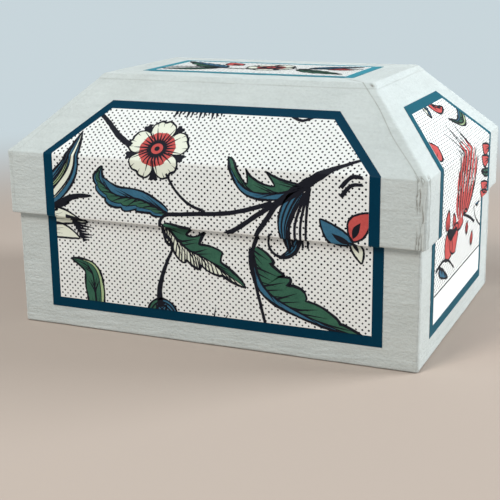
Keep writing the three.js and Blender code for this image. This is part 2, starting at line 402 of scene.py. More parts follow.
@dataclass(frozen=True)
class Paper(Finish):
    """Uncoated paper with visible fibre."""

    blotch_scale: float = 40.0
    depth: float = PAPER_TOOTH
    sheen: float = field(default=0.0, kw_only=True)
    sheen_tint: Colour = field(default=(1.0, 1.0, 1.0), kw_only=True)

    def build(self) -> bpy.types.Material:
        """Build the material.

        Returns:
            The new material.
        """
        material, graph, shader = self.start()
        shader.inputs["Sheen Weight"].default_value = self.sheen
        shader.inputs["Sheen Roughness"].default_value = 0.35
        shader.inputs["Sheen Tint"].default_value = (*self.sheen_tint, 1)
        fibre = self.fibre(graph, self.blotch_scale)
        mottle = graph.span(fibre["Mottle"], -0.35, 1.35)
        colour = graph.mix(mottle, (*self.deep, 1), (*self.pale, 1))
        graph.feed(shader.inputs["Base Color"], colour)
        rough = graph.span(mottle, self.roughness + 0.05, self.roughness - 0.05)
        graph.feed(shader.inputs["Roughness"], rough)
        self.relief(graph, shader, fibre["Height"], self.depth)
        return material


@dataclass(frozen=True)
class LineInk(Finish):
    """Dense black ink of one flat colour, whose gloss follows the paper's tooth."""

    def build(self) -> bpy.types.Material:
        """Build the material.

        Returns:
            The new material.
        """
        material, graph, shader = self.start()
        shader.inputs["Base Color"].default_value = (*self.deep, 1)
        fibre = self.fibre(graph, 300.0)
        rough = graph.span(fibre["Mottle"], self.roughness - 0.15, self.roughness + 0.15)
        graph.feed(shader.inputs["Roughness"], rough)
        self.relief(graph, shader, fibre["Height"], PAPER_TOOTH)
        return material


@dataclass(frozen=True)
class DottedPaper(Finish):
    """Pale paper with a staggered print of small dots, for the bottoms of the trays."""

    dot: Colour = (0.02, 0.02, 0.03)
    pitch: float = 4.0
    radius: float = 0.42

    def build(self) -> bpy.types.Material:
        """Build the material.

        Returns:
            The new material.
        """
        material, graph, shader = self.start()
        fibre = self.fibre(graph, 40.0)
        paper = graph.mix(fibre["Mottle"], (*self.deep, 1), (*self.pale, 1))
        position = graph.split(graph.position())
        nearest = []
        for shift in (0.0, 0.5):
            parts = []
            for axis in (0, 1):
                cells = graph.math("DIVIDE", position[axis], self.pitch * MM)
                cell = graph.math("FRACT", graph.math("ADD", cells, 1000.0 + shift))
                parts.append(graph.math("POWER", graph.math("SUBTRACT", cell, 0.5), 2.0))
            nearest.append(graph.math("SQRT", graph.math("ADD", *parts)))
        distance = graph.math("MINIMUM", *nearest)
        inside = graph.math("LESS_THAN", distance, self.radius / self.pitch)
        graph.feed(shader.inputs["Base Color"], graph.mix(inside, paper, (*self.dot, 1)))
        self.relief(graph, shader, fibre["Height"], PAPER_TOOTH)
        return material


class Ink(Enum):
    """The colours of ink in the print."""

    BLACK = "black"
    GREEN = "green"
    BLUE = "blue"
    LIME = "lime"
    CREAM = "cream"
    CORAL = "coral"


BOOK_CLOTH = WovenCloth("off-white book cloth", (0.70, 0.75, 0.735), (0.57, 0.615, 0.60), 0.8)
CORAL_RIBBON = WovenCloth(
    "coral grosgrain", (0.62, 0.13, 0.10), (0.42, 0.07, 0.06), 0.6,
    thread_scale=5200.0, slub=0.3, depth=0.2, soiled=(0.3, 0.05, 0.04),
)
BLUE_PAPER = Paper(
    "deep blue border paper", (0.0, 0.040, 0.080), (0.0, 0.026, 0.056), 0.42, shine=0.05,
    sheen=0.6, sheen_tint=(0.12, 0.78, 0.95),
)
WHITE_PAPER = Paper("white print paper", (0.92, 0.925, 0.905), (0.85, 0.86, 0.835), 0.75)
LINING_PAPER = Paper("mid-blue lining paper", (0.045, 0.17, 0.25), (0.025, 0.115, 0.18), 0.75, 25.0)
GREY_BOARD = Paper("grey board", (0.30, 0.28, 0.25), (0.20, 0.19, 0.17), 0.9, 80.0, 0.06)
TRAY_FLOOR_PAPER = DottedPaper("dotted tray paper", (0.88, 0.89, 0.875), (0.80, 0.81, 0.79), 0.75)
INKS = {
    Ink.BLACK: LineInk("black ink", (0.02, 0.02, 0.03), (0.008, 0.009, 0.016), 0.65, shine=0.15),
    Ink.GREEN: Paper("green ink", (0.055, 0.175, 0.105), (0.018, 0.075, 0.052), 0.65, 170.0, shine=0.2),
    Ink.BLUE: Paper("blue ink", (0.055, 0.19, 0.30), (0.022, 0.095, 0.17), 0.65, 170.0, shine=0.2),
    Ink.LIME: Paper("light green ink", (0.50, 0.62, 0.33), (0.32, 0.46, 0.24), 0.65, 130.0),
    Ink.CREAM: Paper("cream ink", (0.87, 0.89, 0.76), (0.78, 0.81, 0.68), 0.65, 90.0),
    Ink.CORAL: Paper("coral ink", (0.66, 0.115, 0.105), (0.48, 0.062, 0.058), 0.65, 130.0, shine=0.15),
}


# ------------------------------------------------------------------ meshes
def add_object(name: str, data: bpy.types.ID) -> bpy.types.Object:
    """Put a new object with this data in the scene.

    Args:
        name: The object's name.
        data: Its mesh, light or camera.

    Returns:
        The object.
    """
    made = bpy.data.objects.new(name, data)
    bpy.context.collection.objects.link(made)
    return made


def finish_piece(
    name: str,
    mesh: Mesh,
    material: bpy.types.Material,
    body: str,
    slot: str,
    nodes: Sequence[str] = (),
) -> bpy.types.Object:
    """Add a mesh to the scene as a piece of the box.

    Args:
        name: The piece's name.
        mesh: Its mesh, in metres and in place.
        material: What it is made of.
        body: The moving body it rides on.
        slot: The record's material slot; not used.
        nodes: CAD nodes that it stands for.

    Returns:
        The new object.
    """
    mesh.materials.clear()
    mesh.materials.append(material)
    piece = add_object(name, mesh)
    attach(piece, body)
    if nodes:
        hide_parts(*nodes)
    log.info("%s: %d faces on %s", name, len(mesh.polygons), body)
    return piece


def mesh_from(
    name: str,
    verts: Sequence[Point3],
    faces: Sequence[Sequence[int]],
    sharp: float = 40.0,
    marks: dict[str, Sequence[float]] | None = None,
    closed: bool = True,
) -> Mesh:
    """Make a mesh in metres from millimetres, and merge its doubles.

    Args:
        name: The mesh's name.
        verts: Its points in millimetres.
        faces: Its faces as lists of point numbers.
        sharp: Edges steeper than this many degrees are shaded sharp.
        marks: Attributes by name, with a value for each point.
        closed: Whether it is a closed body, turned to face out and shaded smooth. Flat shapes
            of ink face out already.

    Returns:
        The mesh.
    """
    mesh = bpy.data.meshes.new(name)
    mesh.from_pydata([tuple(c * MM for c in v) for v in verts], [], [list(f) for f in faces])
    for label, values in (marks or {}).items():
        mesh.attributes.new(label, "FLOAT", "POINT").data.foreach_set("value", values)
    body = bmesh.new()
    body.from_mesh(mesh)
    bmesh.ops.remove_doubles(body, verts=body.verts, dist=1e-7)
    if closed:
        bmesh.ops.recalc_face_normals(body, faces=body.faces)
    body.to_mesh(mesh)
    body.free()
    if closed:
        mesh.shade_smooth()
        mesh.set_sharp_from_angle(angle=math.radians(sharp))
    return mesh


# ------------------------------------------------------------------ the folded profile
class Profile:
    """A face's upright section: a line of straight runs joined by rounded corners.

    Places along it are given by the unrolled distance, which equals the height on the first
    upright run. Inset is how far a point lies in from the widest part.
    """

    ARC_STEPS = 5

    def __init__(self, corners: Sequence[tuple[float, float, float]]) -> None:
        """Lay out the line.

        Args:
            corners: Inset, height and rounding radius of each corner, from the bottom up.
        """
        self.points: list[Vector] = []
        self.normals: list[Vector] = []
        places = [None, *(Vector((-inset, height)) for inset, height, _ in corners), None]
        for before, here, after, corner in zip(places, places[1:], places[2:], corners):
            self._corner(here, before, after, corner[2])
        self.marks = [0.0]
        for first, second in zip(self.points, self.points[1:]):
            self.marks.append(self.marks[-1] + (second - first).length)
        upright = next(i for i, n in enumerate(self.normals) if n.x > 0.9999)
        shift = self.points[upright].y - self.marks[upright]
        self.marks = [mark + shift for mark in self.marks]

    def _corner(
        self, here: Vector, before: Vector | None, after: Vector | None, radius: float
    ) -> None:
        """Add one corner as a point or as an arc.

        Args:
            here: The corner.
            before: The corner before it, if any.
            after: The corner after it, if any.
            radius: Radius of the arc.
        """
        enter = (here - before).normalized() if before else None
        leave = (after - here).normalized() if after else None
        first = self._outward(enter or leave)
        second = self._outward(leave or enter)
        if enter is None or leave is None:
            self.points.append(here)
            self.normals.append(first)
            return
        turn = math.acos(max(-1.0, min(1.0, first.dot(second))))
        reach = radius * math.tan(turn / 2)
        centre = here - enter * reach - first * radius
        for step in range(self.ARC_STEPS + 1):
            angle = turn * step / self.ARC_STEPS
            cos, sin = math.cos(angle), math.sin(angle)
            normal = Vector((first.x * cos - first.y * sin, first.x * sin + first.y * cos))
            self.points.append(centre + normal * radius)
            self.normals.append(normal)

    @staticmethod
    def _outward(direction: Vector) -> Vector:
        """Give the outward normal of a run that goes up with the body on its left."""
        return Vector((direction.y, -direction.x))

    def at(self, distance: float) -> tuple[Vector, Vector]:
        """Find a place on the line.

        Args:
            distance: The unrolled distance.

        Returns:
            The point and its outward normal, each as (-inset, height).
        """
        index = bisect_right(self.marks, distance) - 1
        index = max(0, min(len(self.marks) - 2, index))
        run = self.marks[index + 1] - self.marks[index]
        share = (distance - self.marks[index]) / run if run > 1e-9 else 0.0
        point = self.points[index].lerp(self.points[index + 1], share)
        normal = self.normals[index].lerp(self.normals[index + 1], max(0.0, min(1.0, share)))
        return point, normal.normalized()

    def distance_at_height(self, height: float) -> float:
        """Find the highest place on the line at a height.

        Args:
            height: The height.

        Returns:
            Its unrolled distance.
        """
        for index in range(len(self.points) - 1):
            low, high = self.points[index].y, self.points[index + 1].y
            if low <= height <= high and high - low > 1e-6:
                share = (height - low) / (high - low)
                found = self.marks[index] + share * (self.marks[index + 1] - self.marks[index])
        return found


@dataclass(frozen=True)
class LidSizes:
    """The lid's outer shape, read from its cloth's CAD solid."""

    TURN_UNDER = 2.9
    TURN_ON_TOP = 30.0

    half_length: float
    half_depth: float
    skirt_bottom: float
    crease: float
    top: float
    roof_inset: float

    @classmethod
    def read(cls) -> "LidSizes":
        """Read the sizes from the frame.

        Returns:
            The lid's sizes.
        """
        points = [v.co / MM for v in frame["nodes"]["lid_cover"].data.vertices]
        far = max(p.x for p in points)
        top = max(p.z for p in points)
        outer = [p.z for p in points if far - p.x < 0.01]
        flat = max(p.x for p in points if top - p.z < 0.01)
        return cls(far, max(p.y for p in points), min(outer), max(outer), top, far - flat)

    def profile(self) -> Profile:
        """Give the section from under the skirt's edge, up and over on to the flat top."""
        return Profile((
            (self.TURN_UNDER, self.skirt_bottom, 0.0),
            (0.0, self.skirt_bottom, 0.8),
            (0.0, self.crease, 1.5),
            (self.roof_inset, self.top, 1.6),
            (self.roof_inset + self.TURN_ON_TOP, self.top, 0.0),
        ))


@dataclass(frozen=True)
class BaseSizes:
    """The base's outer shape, read from its cloth's CAD solid."""

    TURN_UNDER = 12.0

    half_length: float
    half_depth: float
    bottom: float
    rim: float
    ledge: float
    wall: float

    @classmethod
    def read(cls) -> "BaseSizes":
        """Read the sizes from the frame.

        Returns:
            The base's sizes. The wall is its thickness to the inner face of the turned-in cloth.
        """
        low, high = node_box("base_cover")
        ledge_low, ledge_high = node_box("tray_ledge_front")
        board_face = node_box("base_front_wall")[1].y
        wall = high.y + ledge_low.y + (ledge_low.y - board_face)
        return cls(high.x, high.y, low.z, high.z, ledge_high.z, wall)

    def profile(self) -> Profile:
        """Give the section from under the base, up the wall and over the rim."""
        return Profile((
            (self.TURN_UNDER, self.bottom, 0.0),
            (0.0, self.bottom, 0.9),
            (0.0, self.rim, 0.8),
            (self.wall + 0.3, self.rim, 0.0),
        ))


# ------------------------------------------------------------------ cloth covers
@dataclass(frozen=True)
class Spot:
    """Where a point of cloth lies: its side, distances to that side's two corners, and height."""

    side: Side
    start: float
    end: float
    unrolled: float

    @property
    def corner(self) -> float:
        """Distance to the nearer corner."""
        return min(self.start, self.end)

    @property
    def end_number(self) -> int:
        """A number from 0 to 7 that tells this end of this side from the others."""
        return 2 * list(Side).index(self.side) + (self.start > self.end)


@dataclass
class Relief:
    """How far cloth stands proud of its board, in millimetres, and how dark it is painted there: shade in
    gaps and creases, darker along bottom edges.
    """

    rise: float = 0.0
    # How dark the cloth is painted here: shade in gaps and creases, darker along bottom edges.
    shade_and_dirt: float = 0.0

    def step(self, distance: float, height: float, depth: float, shade_and_dirt: float) -> None:
        """Add a lap of cloth that ends in a small gap, darkened with painted shade.

        Args:
            distance: How far past the lap's edge this place is; negative on the lap.
            height: The lap's thickness.
            depth: Depth of the gap at its edge.
            shade_and_dirt: Painted shade in the gap.
        """
        if distance < 0:
            self.rise += height
        elif distance < 0.35:
            self.rise -= depth
        # The gap beside the lap's edge is darkened with painted shade.
        self.shade_and_dirt += shade_and_dirt * bump(distance - 0.12, 0.32)

    def crease(self, distance: float, width: float, depth: float, shade_and_dirt: float) -> None:
        """Add a crease at a distance from this place, with a width, a depth and painted shade in it."""
        self.rise -= depth * bump(distance, width)
        # The crease is darkened with painted shade.
        self.shade_and_dirt += shade_and_dirt * bump(distance, width * 0.8)


@dataclass
class ClothShell:
    """A closed skin of cloth made of rings round the box."""

    half_length: float
    half_depth: float
    relief: Callable[[Spot], Relief]
    near: Sequence[float] = (*(1.7 + 0.3 * i for i in range(21)), 8.5, 10.0, 12.0, 15.0, 20.0)
    corner_radius: float = 1.5
    inner_radius: float = 0.4
    arc_steps: int = 6
    middle_columns: tuple[int, int] = (40, 26)
    verts: list[Point3] = field(default_factory=list)
    # How dark each point is painted: shade in gaps and creases, darker along bottom edges.
    shade_marks: list[float] = field(default_factory=list)
    ring_size: int = 0

    def ring(self, point: Vector, normal: Vector, unrolled: float | None) -> None:
        """Add a ring.

        Args:
            point: Its place as (-inset, height).
            normal: The outward normal there, in the same plane.
            unrolled: Distance up the profile, or None for a hidden ring with no relief.
        """
        radius = self.corner_radius if unrolled is not None else self.inner_radius
        count = len(self.verts)
        for side in Side:
            run = self.half_length if side.is_long else self.half_depth
            reach = (self.half_depth if side.is_long else self.half_length) + point.x
            half = run + point.x
            columns = self._columns(half, self.middle_columns[0 if side.is_long else 1])
            spots = [(along, reach, (0.0, 1.0)) for along in columns]
            for step in range(self.arc_steps + 1):
                angle = math.pi / 2 * step / self.arc_steps
                lean = (math.sin(angle), math.cos(angle))
                spots.append((half - radius + radius * lean[0], reach - radius + radius * lean[1], lean))
            for along, out, lean in spots:
                found = Relief()
                if unrolled is not None:
                    found = self.relief(Spot(side, half + along, half - along, unrolled))
                self.shade_marks.append(min(1.0, found.shade_and_dirt))
                push, height = found.rise * normal.x, point.y + found.rise * normal.y
                self.verts.append(side.place(along + push * lean[0], out + push * lean[1], height))
        self.ring_size = len(self.verts) - count

    def _columns(self, half: float, middle: int) -> list[float]:
        """Space out a side's columns, packed near its corners.

        Args:
            half: Half of the side's length.
            middle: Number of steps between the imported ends.

        Returns:
            Their distances from the side's middle.
        """
        inner = half - self.near[-1]
        left = [-half + d for d in self.near]
        centre = [-inner + 2 * inner * i / middle for i in range(1, middle)]
        return left + centre + [-a for a in reversed(left)]

    def skin(self, profile: Profile, stops: Iterable[float]) -> None:
        """Add a ring at each stop along a profile."""
        for stop in sorted(stops):
            self.ring(*profile.at(stop), stop)

    def inside(self, corners: Iterable[Point2]) -> None:
        """Add a hidden ring at each corner, given as inset and height."""
        for inset, height in corners:
            self.ring(Vector((-inset, height)), Vector((1.0, 0.0)), None)

    def mesh(self, name: str, loop: bool) -> Mesh:
        """Join the rings.

        Args:
            name: The mesh's name.
            loop: Whether the last ring joins the first, or both are closed with a flat face.

        Returns:
            The closed mesh.
        """
        size = self.ring_size
        rings = len(self.verts) // size
        faces = []
        for ring in range(rings if loop else rings - 1):
            low, high = ring * size, (ring + 1) % rings * size
            for i in range(size):
                j = (i + 1) % size
                faces.append((low + i, low + j, high + j, high + i))
        if not loop:
            faces.append(tuple(range(size)))
            faces.append(tuple(range((rings - 1) * size, rings * size)))
        return mesh_from(name, self.verts, faces, 50.0, {SHADE_MARK: self.shade_marks})


def spaced(low: float, high: float, step: float) -> list[float]:
    """Give places between two values, about a step apart, both ends left out."""
    count = max(1, round((high - low) / step))
    return [low + (high - low) * i / count for i in range(1, count)]


@dataclass
class LidCloth:
    """The book cloth over the lid, with its turned-over edges.

    The worn ends are the ends of the sides that meet at the most handled corner: True is the end
    on the right as one faces the side.
    """

    sizes: LidSizes
    overlap: float = 5.75
    turnover: float = 4.6
    cloth: float = 0.4
    worn_ends: tuple[tuple[Side, bool], ...] = ((Side.FRONT, True), (Side.RIGHT, False))

    def relief(self, spot: Spot) -> Relief:
        """Give the cloth's relief at a place: its ripple, laps, puckers and worn corner.

        Args:
            spot: The place.

        Returns:
            The relief and how dark the cloth is painted there: shade in gaps, creases, the nick and the
            tear, and darker along the skirt's bottom edge.
        """
        up, corner, which = spot.unrolled, spot.corner, spot.end_number
        sizes = self.sizes
        top_edge = sizes.crease + math.hypot(sizes.roof_inset, sizes.top - sizes.crease)
        found = Relief(0.16 * wave(spot.start * 0.05, up * 0.42, which // 2))
        found.rise += 0.08 * wave(spot.start * 0.13, up * 0.6, 9 + which // 2)
        worn = (spot.side, spot.start > spot.end) in self.worn_ends
        # The skirt's corner creases are darkened with painted shade, more and darker at the worn corner.
        folds, depth, shade_and_dirt, pucker = (3, 0.42, 0.95, 0.5) if worn else (1, 0.2, 0.2, 0.2)
        if up < sizes.crease + 1.5:
            for fold in range(folds):
                away = corner - 3.0 - 1.4 * fold - 1.6 * wave(up * 0.1, which, fold * 3.0)
                present = max(0.0, min(1.0, 0.75 + 2.2 * wave(up * 0.06, fold * 5.0, which)))
                found.crease(away, 0.45, depth * present, shade_and_dirt * present)
            found.rise += pucker * max(0.0, 1.0 - corner / 7.0) * wave(corner * 0.9, up * 0.06, which)
        elif spot.side.is_long:
            # The lap on the slope near each hip, with painted shade in the gap at its edge.
            reach = self.overlap + 1.4 * wave(up * 0.045, which, 2.0)
            found.step(corner - reach, *((0.2, 0.12, 0.45) if worn else (0.12, 0.05, 0.08)))
        # The turned-over edge on the slope below the top, with painted shade in the gap at its edge.
        if top_edge - self.turnover - 0.4 < up < top_edge + 1.0:
            lap = top_edge - self.turnover + 0.5 * wave(spot.start * 0.03, which // 2, 8.0)
            found.step(lap - up, 0.17, 0.08, 0.15)
        if which in (0, 7):
            found.rise += 0.5 * bump(corner, 2.6) * bump(up - sizes.crease, 2.4)
        # The nick and the tear at the worn corner are dented and darkened with painted shade.
        if worn:
            nick = bump(corner - 1.6, 1.0) * bump(up - top_edge + 2.2, 1.3)
            torn = bump(corner - 3.2, 1.2) * bump(up - sizes.crease, 1.0)
            found.rise -= 0.6 * nick + 0.4 * torn
            found.shade_and_dirt += 0.8 * nick + 0.8 * torn
        # Darker along the skirt's bottom edge.
        found.shade_and_dirt += 0.12 * bump(up - sizes.skirt_bottom, 1.2)
        return found

    def build(self) -> None:
        """Build the cloth and put it in the scene."""
        sizes, cloth, crease = self.sizes, self.cloth, self.sizes.crease
        profile = sizes.profile()
        top_edge = profile.distance_at_height(sizes.top - 0.01)
        stops = {
            *profile.marks,
            *spaced(profile.marks[0], sizes.skirt_bottom - 0.5, 0.7),
            *spaced(sizes.skirt_bottom + 1, crease - 1, 1.6),
            *spaced(crease + 1, top_edge - 6, 2.2),
            *spaced(top_edge - 6, top_edge - 0.5, 0.35),
        }
        shell = ClothShell(sizes.half_length, sizes.half_depth, self.relief)
        # Inside first, from the hidden side of the flat top down to the mouth.
        shell.inside((
            (sizes.roof_inset + sizes.TURN_ON_TOP, sizes.top - cloth),
            (sizes.roof_inset + cloth * 0.4, sizes.top - cloth),
            (cloth, crease - cloth * 0.4),
            (cloth, sizes.skirt_bottom + cloth),
            (sizes.TURN_UNDER, sizes.skirt_bottom + cloth),
        ))
        shell.skin(profile, stops)
        mesh = shell.mesh("lid_book_cloth", loop=False)
        finish_piece("lid_book_cloth", mesh, BOOK_CLOTH.make(), "lid", "book_cloth", ["lid_cover"])


@dataclass
class BaseCloth:
    """The book cloth round the base, turned in over the rim and under the floor."""

    sizes: BaseSizes
    overlap: float = 3.2
    cloth: float = 0.4
    fold: float = 15.0

    def relief(self, spot: Spot) -> Relief:
        """Give the cloth's relief at a place: its ripple, laps and puckers.

        Args:
            spot: The place.

        Returns:
            The relief and how dark the cloth is painted there: shade in the gaps at the laps, and darker
            along the bottom edge.
        """
        up, corner, which = spot.unrolled, spot.corner, spot.end_number
        found = Relief(0.18 * wave(spot.start * 0.05, up * 0.45, 20 + which // 2))
        found.rise += 0.09 * wave(spot.start * 0.13, up * 0.6, 30 + which // 2)
        found.rise += 0.16 * max(0.0, 1.0 - corner / 5.0) * wave(corner * 1.1, up * 0.06, which)
        if up > self.sizes.bottom:
            # The laps at the ends' corners and above the bottom edge, with painted shade in the gaps at
            # their edges.
            if not spot.side.is_long:
                reach = self.overlap + 0.6 * wave(up * 0.06, which, 5.0)
                found.step(corner - reach, 0.16, 0.12, 0.35)
            lap = self.sizes.bottom + 5.4 + 0.6 * wave(spot.start * 0.03, which // 2, 8.0)
            found.step(up - lap, 0.1, 0.06, 0.12)
            # Darker along the bottom edge.
            found.shade_and_dirt += 0.2 * bump(up - self.sizes.bottom, 1.0)
        return found

    def build(self) -> None:
        """Build the cloth and put it in the scene."""
        sizes = self.sizes
        profile = sizes.profile()
        stops = {
            *profile.marks,
            *spaced(sizes.bottom + 1.0, sizes.bottom + 8.0, 0.6),
            *spaced(sizes.bottom + 8.0, sizes.rim - 1.0, 1.8),
        }
        shell = ClothShell(sizes.half_length, sizes.half_depth, self.relief)
        shell.skin(profile, stops)
        cloth, wall, foot = self.cloth, sizes.wall, sizes.ledge + 0.15
        shell.inside((
            (wall + cloth, sizes.rim - cloth),
            (wall + cloth, foot),
            (wall, foot),
            (wall, sizes.rim - cloth),
            (cloth, sizes.rim - cloth),
            (cloth, sizes.bottom + cloth),
            (self.fold, sizes.bottom + cloth),
            (self.fold, sizes.bottom),
        ))
        mesh = shell.mesh("base_book_cloth", loop=True)
        finish_piece("base_book_cloth", mesh, BOOK_CLOTH.make(), "base", "book_cloth", ["base_cover"])


# ------------------------------------------------------------------ drawing in ink
@dataclass
class Shape:
    """A flat shape of one ink: a strip of quads on the unrolled sheet."""

    ink: Ink
    level: float
    faces: list[list[Point2]]


def bend(points: Line, steps: int) -> list[Point2]:
    """Draw a smooth curve through given points.

    Args:
        points: The points that it passes through.
        steps: How many pieces each stretch is drawn in.

    Returns:
        The curve's points.
    """
    padded = [points[0], *points, points[-1]]
    curve = []
    for stretch in zip(padded, padded[1:], padded[2:], padded[3:]):
        for t in (step / steps for step in range(steps)):
            place = []
            for p, q, r, s in zip(*stretch):
                bow = (2 * p - 5 * q + 4 * r - s) * t * t + (3 * q - p - 3 * r + s) * t**3
                place.append(0.5 * (2 * q + (r - p) * t + bow))
            curve.append(tuple(place))
    curve.append(tuple(points[-1]))
    return curve


def polar(centre: Point2, radius: float, angle: float) -> Point2:
    """Give the place at a radius and an angle round a centre."""
    return (centre[0] + radius * math.cos(angle), centre[1] + radius * math.sin(angle))


def offsets(points: Line) -> list[Point2]:
    """Find which way lies to the left of a curve.

    Args:
        points: The curve's points.

    Returns:
        The unit direction to the left at each point.
    """
    result = []
    for index in range(len(points)):
        before = points[max(0, index - 1)]
        after = points[min(len(points) - 1, index + 1)]
        dx, dy = after[0] - before[0], after[1] - before[1]
        size = math.hypot(dx, dy) or 1.0
        result.append((-dy / size, dx / size))
    return result


@dataclass(frozen=True)
class Edge:
    """The shape of a leaf's edge: how many lobes, how deep, how pointed and how far they lean."""

    lobes: int = 0
    cut: float = 0.0
    hook: float = 0.0
    point: float = 0.5
    rounded: bool = True

    def at(self, share: float) -> Point2:
        """Give the edge at a share of the way along.

        Args:
            share: From 0 at the stalk to 1 at the tip.

        Returns:
            The share of the full width, and how far forward it leans.
        """
        if not self.lobes:
            return (1.0, 0.0)
        phase = share * self.lobes % 1.0
        rise = min(phase / 0.84, (1.0 - phase) / 0.16) ** self.point
        if self.rounded:
            rise = math.sin(math.pi * phase**1.4) ** self.point
        return (1.0 - self.cut * (1.0 - rise), self.hook * rise)


class Drawing:
    """Shapes of ink on an unrolled sheet, in millimetres from its middle and its bottom."""

    FILL, TINT, LINE = 0.05, 0.09, 0.13

    def __init__(self, seed: int) -> None:
        """Start an empty sheet, with a seed for the hand's small irregularities."""
        self.shapes: list[Shape] = []
        self.random = random.Random(seed)

    def add(self, ink: Ink, level: float, faces: list[list[Point2]]) -> None:
        """Add a shape just above the last one of its level."""
        self.shapes.append(Shape(ink, level + 0.003 * (len(self.shapes) % 11), faces))

    def stroke(
        self,
        points: Line,
        widths: Callable[[float], float],
        ink: Ink = Ink.BLACK,
        level: float = LINE,
        rough: float = 0.12,
    ) -> None:
        """Draw a line with a changing width and a slightly rough edge.

        Args:
            points: The line's curve.
            widths: Width at each share of the way along.
            ink: Its colour.
            level: Its layer.
            rough: How uneven its edges are, as a share of the width.
        """
        seed = self.random.random() * 100
        left, right = [], []
        for index, (point, side) in enumerate(zip(points, offsets(points))):
            half = widths(index / (len(points) - 1)) / 2
            for edge, sign in ((left, 1), (right, -1)):
                wobble = 1 + rough * 1.6 * wave(index * 0.45, seed, sign * 3.0)
                edge.append((point[0] + sign * side[0] * half * wobble,
                             point[1] + sign * side[1] * half * wobble))
        self.add(ink, level, self.between(left, right))

    @staticmethod
    def between(first: Line, second: Line) -> list[list[Point2]]:
        """Fill the strip between two curves with the same number of points."""
        return [[a, b, d, c] for a, b, c, d in zip(first, first[1:], second, second[1:])]

    def taper(self, points: Line, width: float, ink: Ink = Ink.BLACK) -> None:
        """Draw a line that swells in the middle and ends in two points."""
        self.stroke(points, lambda t: width * (0.12 + math.sin(math.pi * t) ** 0.7), ink)

    def tail(self, points: Line, width: float, end: float = 0.25) -> None:
        """Draw a line that thins out towards its end."""
        self.stroke(points, lambda t: width * (1 - (1 - end) * t))

    def knots(self, points: Line, gap: float, size: float) -> None:
        """Set small rough ticks along both edges of a stem, as a pen leaves them.

        Args:
            points: The stem's curve.
            gap: Distance between ticks.
            size: Their length.
        """
        walked, count = 0.0, 0
        sides = offsets(points)
        for index in range(1, len(points)):
            step = math.dist(points[index - 1], points[index])
            walked += step
            if walked < gap:
                continue
            walked, count = 0.0, count + 1
            sign = 1 if count % 2 else -1
            x, y = points[index]
            nx, ny = sides[index][0] * sign, sides[index][1] * sign
            reach = size * (0.6 + 0.5 * self.random.random())
            self.tail([(x, y), (x + nx * reach, y + ny * reach)], size * 0.6)

    def ring(self, centre: Point2, inner: Callable[[float], float],
             outer: Callable[[float], float], ink: Ink, level: float, steps: int = 96) -> None:
        """Fill the band between two closed curves round a centre.

        Args:
            centre: The middle.
            inner: Radius of the inner edge at each angle.
            outer: Radius of the outer edge at each angle.
            ink: Its colour.
            level: Its layer.
            steps: Points round it.
        """
        angles = [2 * math.pi * i / steps for i in range(steps + 1)]
        edges = [[polar(centre, radius(a), a) for a in angles] for radius in (outer, inner)]
        self.add(ink, level, self.between(*edges))

    # ---- motifs
    @staticmethod
    def lobed(curve: Line, width: float, edge: Edge) -> list[Point2]:
        """Give one edge of a leaf.

        Args:
            curve: The leaf's midrib.
            width: Widest distance from the midrib; negative on its right.
            edge: The shape of its lobes.

        Returns:
            The edge, with as many points as the midrib.
        """
        last = len(curve) - 1
        line = []
        for index, ((x, y), (nx, ny)) in enumerate(zip(curve, offsets(curve))):
            t = index / last
            swell = math.sin(math.pi * min(1.0, t * 0.97 + 0.03) ** 0.75) ** (0.8 + 0.3 * t)
            lobe, ahead = edge.at(t)
            half, ahead = width * swell * lobe, ahead * swell
            line.append((x + nx * half + ny * ahead, y + ny * half - nx * ahead))
        return line

    def leaf(
        self,
        spine: Line,
        width: tuple[float, float],
        fills: tuple[Ink, Ink],
        edges: tuple[Edge, Edge] | None = None,
        rims: tuple[Ink | None, Ink | None] = (None, None),
        hatch: int = 0,
        grain: int = 0,
        line: float = 1.2,
    ) -> None:
        """Draw a leaf along a spine.

        Args:
            spine: Points from the stalk to the tip.
            width: Widest distance from the spine to the left and to the right edge.
            fills: Colours of the left and of the right half.
            edges: Shapes of the left and of the right edge; smooth when there are none.
            rims: Colours of a band along the left and the right edge, if any.
            hatch: Number of long shading lines across the right half.
            grain: Number of lines that run along each half, in place of veins.
            line: Width of the outline.
        """
        curve = bend(spine, 108 // (len(spine) - 1))
        last = len(curve) - 1
        edges = edges or (Edge(), Edge())
        for half, sign in ((0, 1), (1, -1)):
            outline = self.lobed(curve, sign * width[half], edges[half])
            self.add(fills[half], self.FILL, self.between(curve, outline))
            if rims[half]:
                inner = self.lobed(curve, sign * width[half] * 0.62, edges[half])
                self.add(rims[half], self.TINT, self.between(inner, outline))
                self.taper(inner[8:-12], 0.6)
            for run in range(grain):
                path = self.lobed(curve, sign * width[half] * (run + 1) / (grain + 1), Edge())
                self.taper(path[4 + 6 * run : -6 - 5 * run], line * 0.85)
            if not grain:
                self._veins(curve, outline, edges[half].lobes, line)
            for index in range(hatch * half):
                start = round(last * (0.04 + 0.86 * index / hatch))
                self.tail([outline[min(last, start + 5)], curve[start]], 1.1, 0.4)
            self.stroke(outline, lambda t: line * (0.85 + 0.5 * math.sin(3 * math.pi * t) ** 2), rough=0.25)
        self.stroke(curve, lambda t: line * (1.5 - 1.3 * t))

